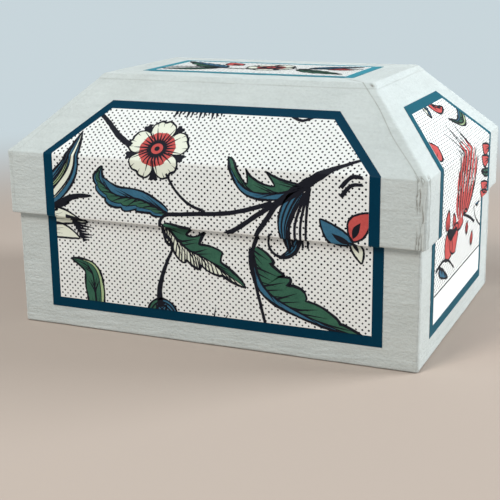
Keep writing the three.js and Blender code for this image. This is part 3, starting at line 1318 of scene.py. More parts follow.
    def _veins(self, curve: list[Point2], outline: list[Point2], lobes: int, line: float) -> None:
        """Draw a vein into each lobe, with a shorter one on each side of it.

        Args:
            curve: The midrib.
            outline: The edge on this side.
            lobes: Number of lobes.
            line: Width of the leaf's outline.
        """
        last = len(curve) - 1
        veins = max(lobes, 3)
        for vein in range(veins):
            start = round(last * (vein + 0.15) / (veins + 0.6))
            stop = min(last, start + round(last * 0.45 / veins) + 3)
            for back, reach, share, size in ((0, 0, 0.74, 1.0), (5, 5, 0.5, 0.7), (-4, -3, 0.4, 0.6)):
                foot, tip = max(0, min(last, start + back)), max(0, min(last, stop + reach))
                end = tuple(r + share * (e - r) for r, e in zip(curve[tip], outline[tip]))
                self.tail([curve[foot], end], line * size, 0.1)

    def blossom(self, centre: Point2, radius: float, turn: float) -> None:
        """Draw an open flower with five petals.

        Args:
            centre: Its middle.
            radius: From the middle to a petal's edge.
            turn: Angle of the first petal's middle.
        """
        fifth, at = 2 * math.pi / 5, partial(polar, centre)

        def petal(angle: float) -> float:
            """Give the radius of the petals' edge at an angle.

            Args:
                angle: The angle.

            Returns:
                The radius.
            """
            share = ((angle - turn) / fifth + 0.5) % 1.0 - 0.5
            lobe = 1.0 - 0.36 * (abs(share) * 2) ** 3.4 - 0.05 * bump(share, 0.06)
            return radius * (lobe + 0.013 * math.sin(9 * angle) + 0.008 * math.sin(23 * angle))

        for index in range(5):
            gap = turn + fifth * (index + 0.5)
            fan = [at(radius * (0.98 + 0.05 * (k % 2)), gap + 0.075 * (k - 2)) for k in range(5)]
            foot = [at(radius * 0.6, gap + 0.02 * (k - 2)) for k in range(5)]
            self.add(Ink.BLACK, 0.03, self.between(foot, fan))
        self.ring(centre, lambda a: 0.0, petal, Ink.CREAM, self.FILL, 140)
        self.ring(centre, lambda a: 0.0, lambda a: radius * (0.585 + 0.012 * math.sin(11 * a)),
                  Ink.CORAL, self.TINT)
        rim = [at(petal(2 * math.pi * i / 160), 2 * math.pi * i / 160) for i in range(161)]
        self.stroke(rim, lambda t: 1.2 + 0.35 * math.sin(31 * t), rough=0.3)
        rays = 25
        for index in range(rays):
            angle = turn + 2 * math.pi * index / rays
            reach = (0.60, 0.78, 0.66, 0.82, 0.62)[index % 5]
            self.tail([at(radius * 0.30, angle), at(radius * reach, angle + 0.04)], 1.5, 0.15)
        for index in range(5):
            notch = turn + fifth * (index + 0.5)
            self.tail([at(petal(notch), notch), at(radius * 0.42, notch)], 1.2, 0.5)
            for lean in (-0.24, 0.05, 0.27):
                angle = turn + fifth * index + lean
                self.tail([at(petal(angle) * 0.98, angle), at(radius * 0.80, angle)], 0.6, 0.15)
        self.ring(centre, lambda a: radius * 0.19,
                  lambda a: radius * (0.315 + 0.02 * math.sin(13 * a)), Ink.BLACK, self.LINE, 60)
        self.ring(centre, lambda a: 0.0, lambda a: radius * 0.085, Ink.BLACK, self.LINE, 24)

    def drop(self, base: Point2, tip: Point2, width: float, ink: Ink, core: bool = True) -> None:
        """Draw a bud or a petal: a pointed oval of one colour with a black outline.

        Args:
            base: Where it grows from.
            tip: Its point.
            width: Its widest half-width.
            ink: Its colour.
            core: Whether it has a black flame inside.
        """
        dx, dy = tip[0] - base[0], tip[1] - base[1]
        size = math.hypot(dx, dy)

        def edge(t: float, share: float) -> Point2:
            """Find a place on the petal.

            Args:
                t: Share of the way from the base to the tip.
                share: Share of the half-width, negative on the right.

            Returns:
                The place.
            """
            half = width * share * math.sin(math.pi * t**0.85) ** 0.85
            shift = 0.10 * size * math.sin(math.pi * t)
            return (base[0] + dx * t - dy / size * (half + shift),
                    base[1] + dy * t + dx / size * (half + shift))

        steps = [i / 24 for i in range(25)]
        left, right = ([edge(t, share) for t in steps] for share in (1, -1))
        self.add(ink, self.FILL, self.between(left, right))
        for outline in (left, right):
            self.stroke(outline, lambda t: 1.05 + 0.3 * math.sin(math.pi * t), rough=0.25)
        if core:
            flame = [(0.08 + 0.5 * t, 0.36 * math.sin(math.pi * t**0.7)) for t in steps]
            self.add(Ink.BLACK, self.LINE, self.between([edge(t, w) for t, w in flame],
                                                        [edge(t, -w) for t, w in flame]))
        else:
            for share in (-0.4, 0.1, 0.5):
                self.tail([edge(0.06, share * 0.5), edge(0.5 + 0.2 * abs(share), share)], 0.7, 0.15)

    def plume(self, foot: Point2, top: Point2, spread: float, strands: int) -> None:
        """Draw a plume of broken coral strands, with black barbs between and above them.

        Args:
            foot: Where it grows from.
            top: Its tip.
            spread: Its widest half-width.
            strands: Number of strands on each side of the middle one.
        """
        dx, dy = top[0] - foot[0], top[1] - foot[1]

        def path(lean: float, reach: float) -> list[Point2]:
            """Draw the line of one strand.

            Args:
                lean: How far it spreads, from -1 on the left to 1 on the right.
                reach: Share of the full height.

            Returns:
                The strand's curve.
            """
            wide = spread * lean
            tall = dy * (1.0 - 0.3 * lean * lean) * reach
            return bend([(foot[0] + wide * 0.25, foot[1]),
                         (foot[0] + dx * 0.3 + wide * 0.8, foot[1] + tall * 0.35),
                         (foot[0] + dx * 0.7 + wide * 1.0, foot[1] + tall * 0.7),
                         (foot[0] + dx + wide * 0.95, foot[1] + tall)], 14)

        for index in range(-strands, strands + 1):
            lean = index / strands
            strand = path(lean, 0.96)
            for part in range(2):
                start = round(len(strand) * (0.03 + 0.42 * part + 0.1 * (index % 2)))
                piece = strand[start : start + round(len(strand) * 0.52)]
                if len(piece) > 4:
                    self.stroke(piece, lambda t: 0.2 + 5.0 * math.sin(math.pi * t**0.8),
                                Ink.CORAL, self.FILL, 0.25)
            barb = path(lean + 0.5 / strands, 1.0 + 0.12 * (index % 2))
            self.taper(barb[6:], 1.5)
            self.taper(path(lean + 0.25 / strands, 0.8)[4:], 0.9)
            if abs(lean) > 0.5:
                side = math.copysign(1.0, lean)
                for share in (0.35, 0.55, 0.75):
                    x, y = barb[round(len(barb) * share)]
                    self.tail(bend([(x, y), (x + 2 * side, y + 4), (x + 5 * side, y + 8)], 4), 1.4, 0.1)
        for lean in (-0.5, -0.1, 0.35):
            x, y = path(lean, 1.0)[-1]
            self.tail(bend([(x, y - 6), (x + lean * 5, y + 4), (x + lean * 14, y + 11)], 6), 1.7, 0.15)

    def curl(self, centre: Point2, radius: float, start: float, turns: float, width: float) -> None:
        """Draw a tendril that winds inwards.

        Args:
            centre: Its middle.
            radius: Where it starts from.
            start: Angle that it starts at.
            turns: How many turns it takes; negative is clockwise.
            width: Its width where it starts.
        """
        steps = max(10, round(34 * abs(turns)))
        shares = [i / steps for i in range(steps + 1)]
        path = [polar(centre, radius * (1 - 0.45 * t), start + 2 * math.pi * turns * t) for t in shares]
        self.tail(path, width, 0.5)

    def stem(self, points: Line, start: float, end: float, gap: float = 7.0) -> None:
        """Draw a knotty stem.

        Args:
            points: What it passes through.
            start: Its width where it starts.
            end: Its width where it ends.
            gap: Distance between its knots.
        """
        path = bend(points, 12)
        self.stroke(path, lambda t: start + (end - start) * t)
        self.knots(path, gap, 0.6 + 0.25 * max(start, end))


ROUND = Edge(5, 0.36, 3.2)
SCALLOP = Edge(6, 0.30, 2.4)
FINE = Edge(7, 0.26, 2.0)
THORNY = Edge(3, 0.72, 7.0, 1.9, False)
RAGGED = Edge(4, 0.55, 3.0, 1.3, False)
PLAIN = Edge()


def front_drawing() -> Drawing:
    """Draw the long sides' picture, which runs on from the base to the lid.

    Returns:
        The drawing, from the bottom of the base's print to the top of the lid's.
    """
    d = Drawing(11)
    black, green, blue, lime, cream = Ink.BLACK, Ink.GREEN, Ink.BLUE, Ink.LIME, Ink.CREAM
    # The stalks that the flower, the hatched leaf and the bud hang on.
    d.stem([(-84, 152), (-74, 144), (-63, 134), (-52, 127)], 2.6, 4.4, 4.0)
    d.stem([(-24, 110), (-18, 100), (-9, 92), (2, 88)], 1.6, 2.0, 6.0)
    d.stem([(-26, 84), (-6, 86), (20, 89), (46, 97)], 2.6, 2.8)
    d.stem([(-24, 85), (-29, 80), (-29, 72), (-24, 66), (-23, 60)], 2.0, 2.4)
    d.stem([(-23, 61), (-29, 48), (-33, 34), (-33, 22)], 1.6, 4.4, 4.0)
    # The main branch, from the right edge down to the left, with its forks.
    trunk = bend([(100, 128), (82, 119), (66, 109), (55, 101), (44, 93)], 14)
    d.stroke(trunk, lambda t: 1.8 + 4.6 * math.sin(math.pi * min(1.0, t * 0.9)) ** 2)
    d.knots(trunk, 6.0, 1.5)
    d.stem([(54, 101), (38, 90), (24, 80), (14.5, 75)], 3.2, 2.6)
    d.stem([(50, 98), (42, 86), (35, 75), (31, 60), (34, 42), (40, 18)], 3.4, 1.9)
    # Leaves on the lid.
    d.leaf([(-24, 85), (-42, 92), (-60, 94), (-71, 103), (-69, 112)], (9.0, 6.0), (green, blue),
           (FINE, PLAIN), (blue, None))
    d.leaf([(66, 108), (48, 103), (28, 105), (16, 124)], (4.0, 15.0), (blue, green), (PLAIN, THORNY))
    d.leaf([(-118, 84), (-105, 96), (-93, 112), (-90, 135)], (7.5, 8.5), (blue, cream), None, (None, blue),
           grain=1)
    d.leaf([(-116, 91), (-104, 101), (-96, 112), (-93, 124)], (2.4, 2.4), (lime, lime), line=0.7, grain=1)
    d.leaf([(-114, 79), (-102, 84), (-92, 90), (-78, 92)], (2.0, 2.2), (black, black), (PLAIN, RAGGED))
    # The blue ribbon leaf, with lines beside it, that ends in a scroll over the join.
    for shift in (0.0, 3.5, 7.0, 10.5):
        d.stem([(70, 108), (62 + shift * 0.6, 96), (57 + shift, 84), (58 + shift * 0.9, 70)], 1.9, 1.4, 30.0)
    d.leaf([(65, 106), (58, 95), (54, 82), (56, 66)], (3.4, 5.4), (blue, blue), grain=1)
    d.curl((50, 73), 12.0, 0.1, -0.66, 2.4)
    d.leaf([(63, 76), (59, 67), (49, 62)], (1.0, 4.0), (blue, blue), line=0.9, grain=1)
    # The buds and the two commas at the right edge.
    d.drop((96, 78), (108, 96), 6.5, Ink.CORAL)
    d.drop((97, 76), (76, 90), 5.5, blue)
    d.drop((94, 77), (101, 64), 3.4, cream)
    for shift in (0.0, 4.0):
        d.tail(bend([(102, 112 + shift), (95, 111 + shift * 1.2), (89, 104 + shift * 1.4)], 8), 1.8, 1.5)
    # The hatched leaf that hangs over the join between lid and base.
    d.leaf([(-28, 77), (-14, 63), (2, 56), (27, 41)], (16.0, 9.5), (green, cream), (RAGGED, ROUND), hatch=24,
           line=1.4)
    # Base: a bud at the foot, a broad lobed leaf and a single blade.
    d.leaf([(-30, 25), (-37, 19), (-41, 8)], (5.5, 5.0), (blue, green), grain=1)
    d.leaf([(-35, 25), (-26, 20), (-20, 8)], (4.5, 6.0), (blue, blue), grain=1)
    d.leaf([(31, 67), (39, 43), (63, 29), (108, 15)], (17.0, 4.0), (green, blue), (SCALLOP, PLAIN), line=1.5)
    d.leaf([(-80, 8), (-81, 28), (-84, 42), (-98, 48)], (6.5, 7.0), (green, green), None, (None, lime))
    d.drop((-124, 72), (-84, 73), 6.0, cream, core=False)
    d.drop((-122, 64), (-90, 62), 5.0, cream, core=False)
    for lean in range(9):
        foot = (-98 + 1.2 * lean, 77 - 2.0 * lean)
        d.tail([foot, (-80 - 2 * (lean % 3), 75 - 1.7 * lean)], 2.6, 0.1)
    for start, stop in (((4, 14), (6, 26)), ((9, 14), (15, 23)), ((-2, 14), (0, 21))):
        d.tail([start, stop], 1.8, 0.1)
    d.blossom((-33, 126), 20.8, math.pi / 2)
    # Ragged tips that reach in from the top edge.
    for index in range(12):
        foot = -27 + 2.5 * index
        d.tail([(foot, 162), (foot + 0.4 * (index - 6), 150 + 1.5 * (index % 3))], 4.2, 0.1)
    d.tail(bend([(46, 158), (56, 153), (68, 160)], 4), 2.6, 0.6)
    return d


def end_drawing() -> Drawing:
    """Draw the short sides' picture.

    Returns:
        The drawing, from the bottom of the base's print to the top of the lid's.
    """
    d = Drawing(23)
    coral, blue, green, lime, black = Ink.CORAL, Ink.BLUE, Ink.GREEN, Ink.LIME, Ink.BLACK
    d.stem([(44, 60), (30, 66), (12, 72), (-8, 78)], 2.0, 1.8)
    d.plume((-12, 72), (2, 128), 24.0, 3)
    # Loose petals below the cone, with a dark eye between them.
    for base, tip, width in (
        ((-27, 70), (-38, 53), 11.0),
        ((-22, 70), (-12, 53), 12.0),
        ((-30, 74), (-36, 84), 4.0),
        ((-14, 72), (9, 68), 7.0),
    ):
        d.drop(base, tip, width, coral, core=False)
    d.leaf([(-34, 72), (-24, 67), (-8, 68)], (3.0, 3.0), (black, black))
    d.leaf([(-54, 53), (-44, 49), (-30, 41)], (0.8, 5.0), (blue, blue))
    d.stem([(-62, 53), (-44, 55), (-28, 51), (-14, 43)], 2.2, 1.2, 20.0)
    for x, y, size in ((21, 61, 4.5), (37, 50, 5.0), (-50, 82, 7.0)):
        d.drop((x, y - size), (x + 1, y + size), size * 0.8, coral, core=False)
    # Leaves and petals that come in from the edges.
    d.drop((-64, 124), (-45, 130), 7.0, coral, core=False)
    d.leaf([(-6, 160), (-10, 152), (-14, 147)], (3.0, 5.0), (blue, Ink.CREAM))
    d.leaf([(2, 160), (10, 152), (24, 150)], (2.0, 6.0), (coral, coral))
    d.leaf([(60, 148), (42, 136), (28, 134), (14, 141)], (2.5, 5.0), (lime, green), None, (None, blue))
    for height in (112, 104, 86, 80):
        d.drop((66, height - 4), (42, height + 2), 4.0, coral, core=False)
    d.leaf([(70, 90), (56, 92), (42, 96)], (2.5, 3.0), (green, green))
    d.drop((60, 74), (42, 75), 2.8, blue, core=False)
    d.stem([(70, 50), (54, 58), (44, 66), (40, 76)], 1.4, 1.0)
    return d


def top_drawing() -> Drawing:
    """Draw the flat top's picture.

    Returns:
        The drawing, with its middle at the middle of the top.
    """
    d = Drawing(37)
    green, blue = Ink.GREEN, Ink.BLUE
    d.stem([(-80, -14), (-46, -4), (-10, -8), (28, 2), (80, 12)], 3.0, 2.0)
    d.blossom((4, 4), 17.0, 0.9)
    d.leaf([(-26, -6), (-42, 4), (-66, 24)], (8.0, 9.0), (green, blue), (ROUND, FINE))
    d.leaf([(-30, -8), (-46, -16), (-68, -20)], (5.0, 6.0), (green, green), (PLAIN, ROUND))
    d.leaf([(26, -2), (42, -12), (62, -20)], (7.0, 7.0), (green, green), (ROUND, ROUND))
    d.leaf([(32, 4), (46, 14), (64, 22)], (6.0, 6.0), (blue, blue), (PLAIN, ROUND))
    d.drop((44, 4), (62, 5), 5.0, Ink.CORAL)
    d.drop((-20, 10), (-34, 24), 6.0, Ink.CORAL)
    return d


# ------------------------------------------------------------------ pasted panels
def dot_tree() -> bpy.types.NodeTree:
    """Make the Geometry Nodes that print a staggered lattice of dots on a flat sheet.

    Returns:
        The tree, with the two pitches, the dot's radius, its unevenness, a seed and a material
        as inputs.
    """
    name = "staggered print dots"
    if name in bpy.data.node_groups:
        return bpy.data.node_groups[name]
    tree = bpy.data.node_groups.new(name, "GeometryNodeTree")
    for label, direction, kind in (
        ("Sheet", "INPUT", "NodeSocketGeometry"),
        ("Column Pitch", "INPUT", "NodeSocketFloat"),
        ("Row Pitch", "INPUT", "NodeSocketFloat"),
        ("Dot Radius", "INPUT", "NodeSocketFloat"),
        ("Unevenness", "INPUT", "NodeSocketFloat"),
        ("Seed", "INPUT", "NodeSocketInt"),
        ("Ink", "INPUT", "NodeSocketMaterial"),
        ("Dots", "OUTPUT", "NodeSocketGeometry"),
    ):
        tree.interface.new_socket(label, in_out=direction, socket_type=kind)
    graph = Graph(tree)
    entry = graph.add("NodeGroupInput").outputs
    bounds = graph.add("GeometryNodeBoundBox")
    graph.feed(bounds.inputs[0], entry["Sheet"])
    low, high = bounds.outputs["Min"], bounds.outputs["Max"]
    extent = graph.split(graph.vector("SUBTRACT", high, low))
    counts, inputs = [], {}
    for axis, part, pitch in (("X", 0, "Column Pitch"), ("Y", 1, "Row Pitch")):
        steps = graph.math("CEIL", graph.math("DIVIDE", extent[part], entry[pitch]))
        steps = graph.math("ADD", steps, 2.0)
        inputs[f"Size {axis}"] = graph.math("MULTIPLY", steps, entry[pitch])
        inputs[f"Vertices {axis}"] = graph.math("ADD", steps, 1.0)
        counts.append(inputs[f"Vertices {axis}"])
    grid = graph.put("GeometryNodeMeshGrid", inputs)
    # Every other row is shifted by half a column.
    row = graph.math("FLOORED_MODULO", graph.add("GeometryNodeInputIndex").outputs[0], counts[1])
    odd = graph.math("FLOORED_MODULO", row, 2.0)
    shift = graph.math("MULTIPLY", graph.math("MULTIPLY", odd, 0.5), entry["Column Pitch"])
    offset = graph.put("ShaderNodeCombineXYZ", {0: shift})
    middle = graph.vector("ADD", high, low)
    centre = graph.put("ShaderNodeVectorMath", {0: middle, "Scale": 0.5}, operation="SCALE")
    total = graph.vector("ADD", offset, centre)
    moved = graph.put("GeometryNodeSetPosition", {"Geometry": grid, "Offset": total})
    # Points that don't lie over the sheet are dropped.
    above = graph.vector("ADD", graph.add("GeometryNodeInputPosition").outputs[0], (0, 0, 1))
    down = {
        "Target Geometry": entry["Sheet"],
        "Source Position": above,
        "Ray Direction": (0, 0, -1),
        "Ray Length": 5.0,
    }
    hit = graph.put("GeometryNodeRaycast", down, "Is Hit")
    missed = graph.put("FunctionNodeBooleanMath", {0: hit}, operation="NOT")
    kept = graph.put("GeometryNodeDeleteGeometry", {"Geometry": moved, "Selection": missed})
    disc = graph.put(
        "GeometryNodeMeshCircle", {"Vertices": 8, "Radius": entry["Dot Radius"]}, fill_type="NGON"
    )
    least = graph.math("SUBTRACT", 1.0, entry["Unevenness"])
    most = graph.math("ADD", 1.0, entry["Unevenness"])
    limits = {2: least, 3: most, "Seed": entry["Seed"]}
    spread = graph.put("FunctionNodeRandomValue", limits, 1, data_type="FLOAT")
    copies = graph.put("GeometryNodeInstanceOnPoints", {"Points": kept, "Instance": disc, "Scale": spread})
    real = graph.put("GeometryNodeRealizeInstances", {0: copies})
    inked = graph.put("GeometryNodeSetMaterial", {"Geometry": real, "Material": entry["Ink"]})
    graph.feed(graph.add("NodeGroupOutput").inputs[0], inked)
    return tree


@dataclass(frozen=True)
class DotPrint:
    """The sizes of the printed dots, in millimetres."""

    column_pitch: float = 4.0
    row_pitch: float = 2.0
    radius: float = 0.64
    unevenness: float = 0.12

    def on(self, outline: Line, seed: int) -> Flat:
        """Print dots on a flat sheet.

        Args:
            outline: The sheet's outline.
            seed: Seed of the dots' unevenness.

        Returns:
            The dots, not yet cut at the sheet's edge.
        """
        sheet = bpy.data.meshes.new("dot_sheet")
        sheet.from_pydata([(x, y, 0.0) for x, y in outline], [], [list(range(len(outline)))])
        holder = add_object("dot_sheet", sheet)
        tree = dot_tree()
        modifier = holder.modifiers.new("dots", "NODES")
        modifier.node_group = tree
        values = {
            "Column Pitch": self.column_pitch,
            "Row Pitch": self.row_pitch,
            "Dot Radius": self.radius,
            "Unevenness": self.unevenness,
            "Seed": seed,
            "Ink": INKS[Ink.BLACK].make(),
        }
        for socket in tree.interface.items_tree:
            if socket.name in values:
                modifier[socket.identifier] = values[socket.name]
        bpy.context.view_layer.update()
        evaluated = holder.evaluated_get(bpy.context.evaluated_depsgraph_get())
        dots = bpy.data.meshes.new_from_object(evaluated)
        result = bmesh.new()
        result.from_mesh(dots)
        holder.modifiers.clear()
        bpy.data.objects.remove(holder)
        bpy.data.meshes.remove(dots)
        bpy.data.meshes.remove(sheet)
        return result


def slice_flat(flat: Flat, place: Point2, normal: Sequence[float], trim: bool = False) -> None:
    """Cut a flat mesh along an upright plane.

    Args:
        flat: The mesh.
        place: A point of the plane.
        normal: Which way the plane faces.
        trim: Whether what lies in front of the plane is removed.
    """
    everything = flat.verts[:] + flat.edges[:] + flat.faces[:]
    bmesh.ops.bisect_plane(
        flat, geom=everything, dist=1e-5, plane_co=(*place, 0.0), plane_no=normal, clear_outer=trim
    )


@dataclass
class Panel:
    """A blue border paper and a printed paper on it, pasted over one face."""

    name: str
    outline: list[Point2]
    window: list[Point2]
    place: Callable[[float, float, float], Point3]
    folds: Sequence[float]
    dotted: list[Point2]
    border_levels: tuple[float, float] = (0.06, 0.25)
    print_levels: tuple[float, float] = (0.30, 0.48)
    column_step: float = 9.0

    def _clip(self, flat: Flat, outline: Line) -> None:
        """Cut a flat mesh to a convex outline, and split it at the folds.

        Args:
            flat: The mesh.
            outline: The outline.
        """
        middle = [sum(p[i] for p in outline) / len(outline) for i in (0, 1)]
        for a, b in zip(outline, [*outline[1:], outline[0]]):
            normal = Vector((b[1] - a[1], a[0] - b[0], 0.0))
            if normal.dot(Vector((middle[0] - a[0], middle[1] - a[1], 0.0))) > 0:
                normal.negate()
            slice_flat(flat, a, normal, trim=True)
        for fold in self.folds:
            slice_flat(flat, (0, fold), (0, 1, 0))

    def sheet(self, name: str, outline: Line, levels: Point2) -> Mesh:
        """Make a sheet of paper with a thickness, bent over the face.

        Args:
            name: The mesh's name.
            outline: Its flat outline.
            levels: How far its two faces lie out from the cloth.

        Returns:
            The closed mesh.
        """
        flat = bmesh.new()
        flat.faces.new([flat.verts.new((*p, 0.0)) for p in outline])
        low, high = min(p[0] for p in outline), max(p[0] for p in outline)
        for cut in spaced(low, high, self.column_step):
            slice_flat(flat, (cut, 0), (1, 0, 0))
        self._clip(flat, outline)
        flat.verts.index_update()
        verts, faces = [], []
        count = len(flat.verts)
        for level in levels:
            for v in flat.verts:
                ripple = 0.03 * wave(v.co.x * 0.06, v.co.y * 0.09, level * 40)
                verts.append(self.place(v.co.x, v.co.y, level + ripple * (level > 0.1)))
        for face in flat.faces:
            ring = [v.index for v in face.verts]
            faces.append(ring)
            faces.append([i + count for i in reversed(ring)])
        for edge in flat.edges:
            if edge.is_boundary:
                a, b = (v.index for v in edge.verts)
                faces.append([a, b, b + count, a + count])
        flat.free()
        return mesh_from(name, verts, faces, 60.0)

    def ink(self, shapes: Iterable[Shape], gather: dict[Ink, list]) -> None:
        """Cut shapes of ink to the window and lay them on the print.

        Args:
            shapes: The drawing's shapes.
            gather: Lists of faces in the row frame, one list for each ink.
        """
        for ink in Ink:
            flat = bmesh.new()
            lift = flat.verts.layers.float.new("lift")
            for shape in shapes:
                if shape.ink is ink:
                    self._lay(flat, lift, shape)
            if flat.faces:
                self._clip(flat, self.window)
                self._raise(flat, lambda v: v[lift], gather[ink])
            flat.free()

    @staticmethod
    def _lay(flat: Flat, lift: object, shape: Shape) -> None:
        """Add a shape's faces to a flat mesh, sharing its points.

        Args:
            flat: The mesh.
            lift: Its layer that keeps how far each point is raised.
            shape: The shape.
        """
        known: dict[Point2, bmesh.types.BMVert] = {}
        for face in shape.faces:
            ring = []
            for x, y in face:
                key = (round(x, 4), round(y, 4))
                if key not in known:
                    known[key] = flat.verts.new((x, y, 0.0))
                    known[key][lift] = shape.level
                if known[key] not in ring:
                    ring.append(known[key])
            if len(ring) >= 3 and flat.faces.get(ring) is None:
                flat.faces.new(ring)

    def _raise(self, flat: Flat, level: Callable, gather: list) -> None:
        """Place a flat mesh's faces on the print, facing out.

        Args:
            flat: The mesh.
            level: How far a point is raised above the paper.
            gather: List that the faces go in.
        """
        flat.normal_update()
        top = self.print_levels[1] + 0.02
        for face in flat.faces:
            if face.calc_area() < 1e-6:
                continue
            ring = list(face.verts)
            if face.normal.z < 0:
                ring.reverse()
            gather.append([self.place(v.co.x, v.co.y, top + level(v)) for v in ring])

    def dots(self, dots: DotPrint, seed: int, gather: list) -> None:
        """Print the dots, cut at the edge of the dotted part.

        Args:
            dots: The dots' sizes.
            seed: Seed of their unevenness.
            gather: List that the faces go in.
        """
        flat = dots.on(self.dotted, seed)
        self._clip(flat, self.dotted)
        self._raise(flat, lambda v: 0.02, gather)
        flat.free()


def ink_mesh(name: str, faces: list[list[Point3]]) -> Mesh:
    """Make a mesh of flat shapes of ink.

    Args:
        name: The mesh's name.
        faces: Its faces in millimetres, facing out.

    Returns:
        The mesh, in metres.
    """
    verts, rings = [], []
    for face in faces:
        rings.append(range(len(verts), len(verts) + len(face)))
        verts.extend(face)
    return mesh_from(name, verts, rings, closed=False)


@dataclass
class PaperWork:
    """All the pasted papers of one body, and the ink on them."""

    body: str
    half_length: float
    half_depth: float
    profile: Profile
    knee: float = 0.0
    dots: DotPrint = DotPrint()
    band: float = 38.0

    def side_panel(self, side: Side, wrap: float) -> Panel:
        """Lay out the papers of one side from their CAD solids.

        Args:
            side: Which side.
            wrap: How far both papers run on past the CAD sheet's bottom edge.

        Returns:
            The panel.
        """
        reach = self.half_depth if side.is_long else self.half_length

        def place(along: float, unrolled: float, level: float) -> Point3:
            """Give the place of a point of the unrolled sheet, a level out from the cloth."""
            point, normal = self.profile.at(unrolled)
            return side.place(along, reach + point.x + normal.x * level, point.y + normal.y * level)

        outline = self._outline(f"{self.body}_{side.label}_border", side, wrap)
        window = self._outline(f"{self.body}_{side.label}_print", side, wrap)
        dotted = window
        if self.body == "base" and not side.is_long:
            dotted = [(x, max(y, self.band + 0.6)) for x, y in window]
        low, high = outline[0][1], max(p[1] for p in outline)
        folds = [m for m in self.profile.marks if low < m < high]
        folds += spaced(low, high, 7.0)
        return Panel(f"{self.body}_{side.label}", outline, window, place, folds, dotted)

    def _outline(self, node: str, side: Side, wrap: float) -> list[Point2]:
        """Unroll a CAD sheet's outline.

        Args:
            node: The sheet's CAD node.
            side: The side that it is on.
            wrap: How far the outline runs on past the sheet's bottom edge.

        Returns:
            The outline's corners.
        """
        points = [v.co / MM for v in frame["nodes"][node].data.vertices]
        axis = 0 if side.is_long else 1
        bottom = min(p.z for p in points)
        top = max(p.z for p in points)
        half = max(abs(p[axis]) for p in points)
        shoulder = max(abs(p[axis]) for p in points if top - p.z < 0.4)
        low = bottom - wrap
        outline = [(-half, low), (half, low)]
        if half - shoulder <= 1.0:
            return outline + [(half, top), (-half, top)]
        knee, high = self.knee, self.profile.distance_at_height(top)
        return outline + [(half, knee), (shoulder, high), (-shoulder, high), (-half, knee)]

    def top_panel(self, height: float) -> Panel:
        """Lay out the papers of the flat top from their CAD solids.

        Args:
            height: Height of the flat top.

        Returns:
            The panel.
        """

        def place(along: float, back: float, level: float) -> Point3:
            """Give the place of a point of the sheet, a level above the cloth."""
            return (along, back, height + level)

        outlines = []
        for kind in ("border", "print"):
            x, y = node_box(f"lid_top_{kind}")[1].xy
            outlines.append([(-x, -y), (x, -y), (x, y), (-x, y)])
        border, window = outlines
        return Panel("lid_top", border, window, place, spaced(-y, y, 9.0), window)

    def build(self, panels: Sequence[tuple[Panel, Drawing]]) -> None:
        """Build the papers and the ink, and put them in the scene.

        Args:
            panels: The panels, each with its drawing.
        """
        gather: dict[Ink, list] = {ink: [] for ink in Ink}
        dots: list = []
        for index, (panel, drawing) in enumerate(panels):
            for kind, outline, levels, finish, slot in (
                ("border", panel.outline, panel.border_levels, BLUE_PAPER, "border_paper"),
                ("print", panel.window, panel.print_levels, WHITE_PAPER, "printed_paper"),
            ):
                mesh = panel.sheet(f"{panel.name}_{kind}_paper", outline, levels)
                finish_piece(mesh.name, mesh, finish.make(), self.body, slot, [f"{panel.name}_{kind}"])
            panel.ink(drawing.shapes, gather)
            panel.dots(self.dots, 100 + index, dots)
        for ink, faces in gather.items():
            if faces:
                name = f"{self.body}_{ink.value}_ink"
                finish_piece(name, ink_mesh(name, faces), INKS[ink].make(), self.body, "printed_paper")
        name = f"{self.body}_ink_dots"
        finish_piece(name, ink_mesh(name, dots), INKS[Ink.BLACK].make(), self.body, "printed_paper")


# ------------------------------------------------------------------ base, lid and trays
def board_mesh(name: str, low: Vector, high: Vector, radius: float, steps: int = 3) -> Mesh:
    """Make a board with all its edges rounded.

    Args:
        name: The mesh's name.
        low: Its lowest corner in millimetres.
        high: Its highest corner.
        radius: Radius of its edges.
        steps: Segments round each edge.

    Returns:
        The mesh, in metres.
    """
    board = bmesh.new()
    bmesh.ops.create_cube(board, size=1.0)
    place = Matrix.Translation((high + low) / 2) @ Matrix.Diagonal((*(high - low), 1.0))
    bmesh.ops.transform(board, matrix=place, verts=board.verts)
    bmesh.ops.bevel(board, geom=board.edges[:], offset=radius, segments=steps, profile=0.5,
                    affect="EDGES", clamp_overlap=True)
    bmesh.ops.scale(board, vec=(MM, MM, MM), verts=board.verts)
    mesh = bpy.data.meshes.new(name)
    board.to_mesh(mesh)
    board.free()
    mesh.shade_smooth()
    mesh.set_sharp_from_angle(angle=math.radians(60))
    return mesh


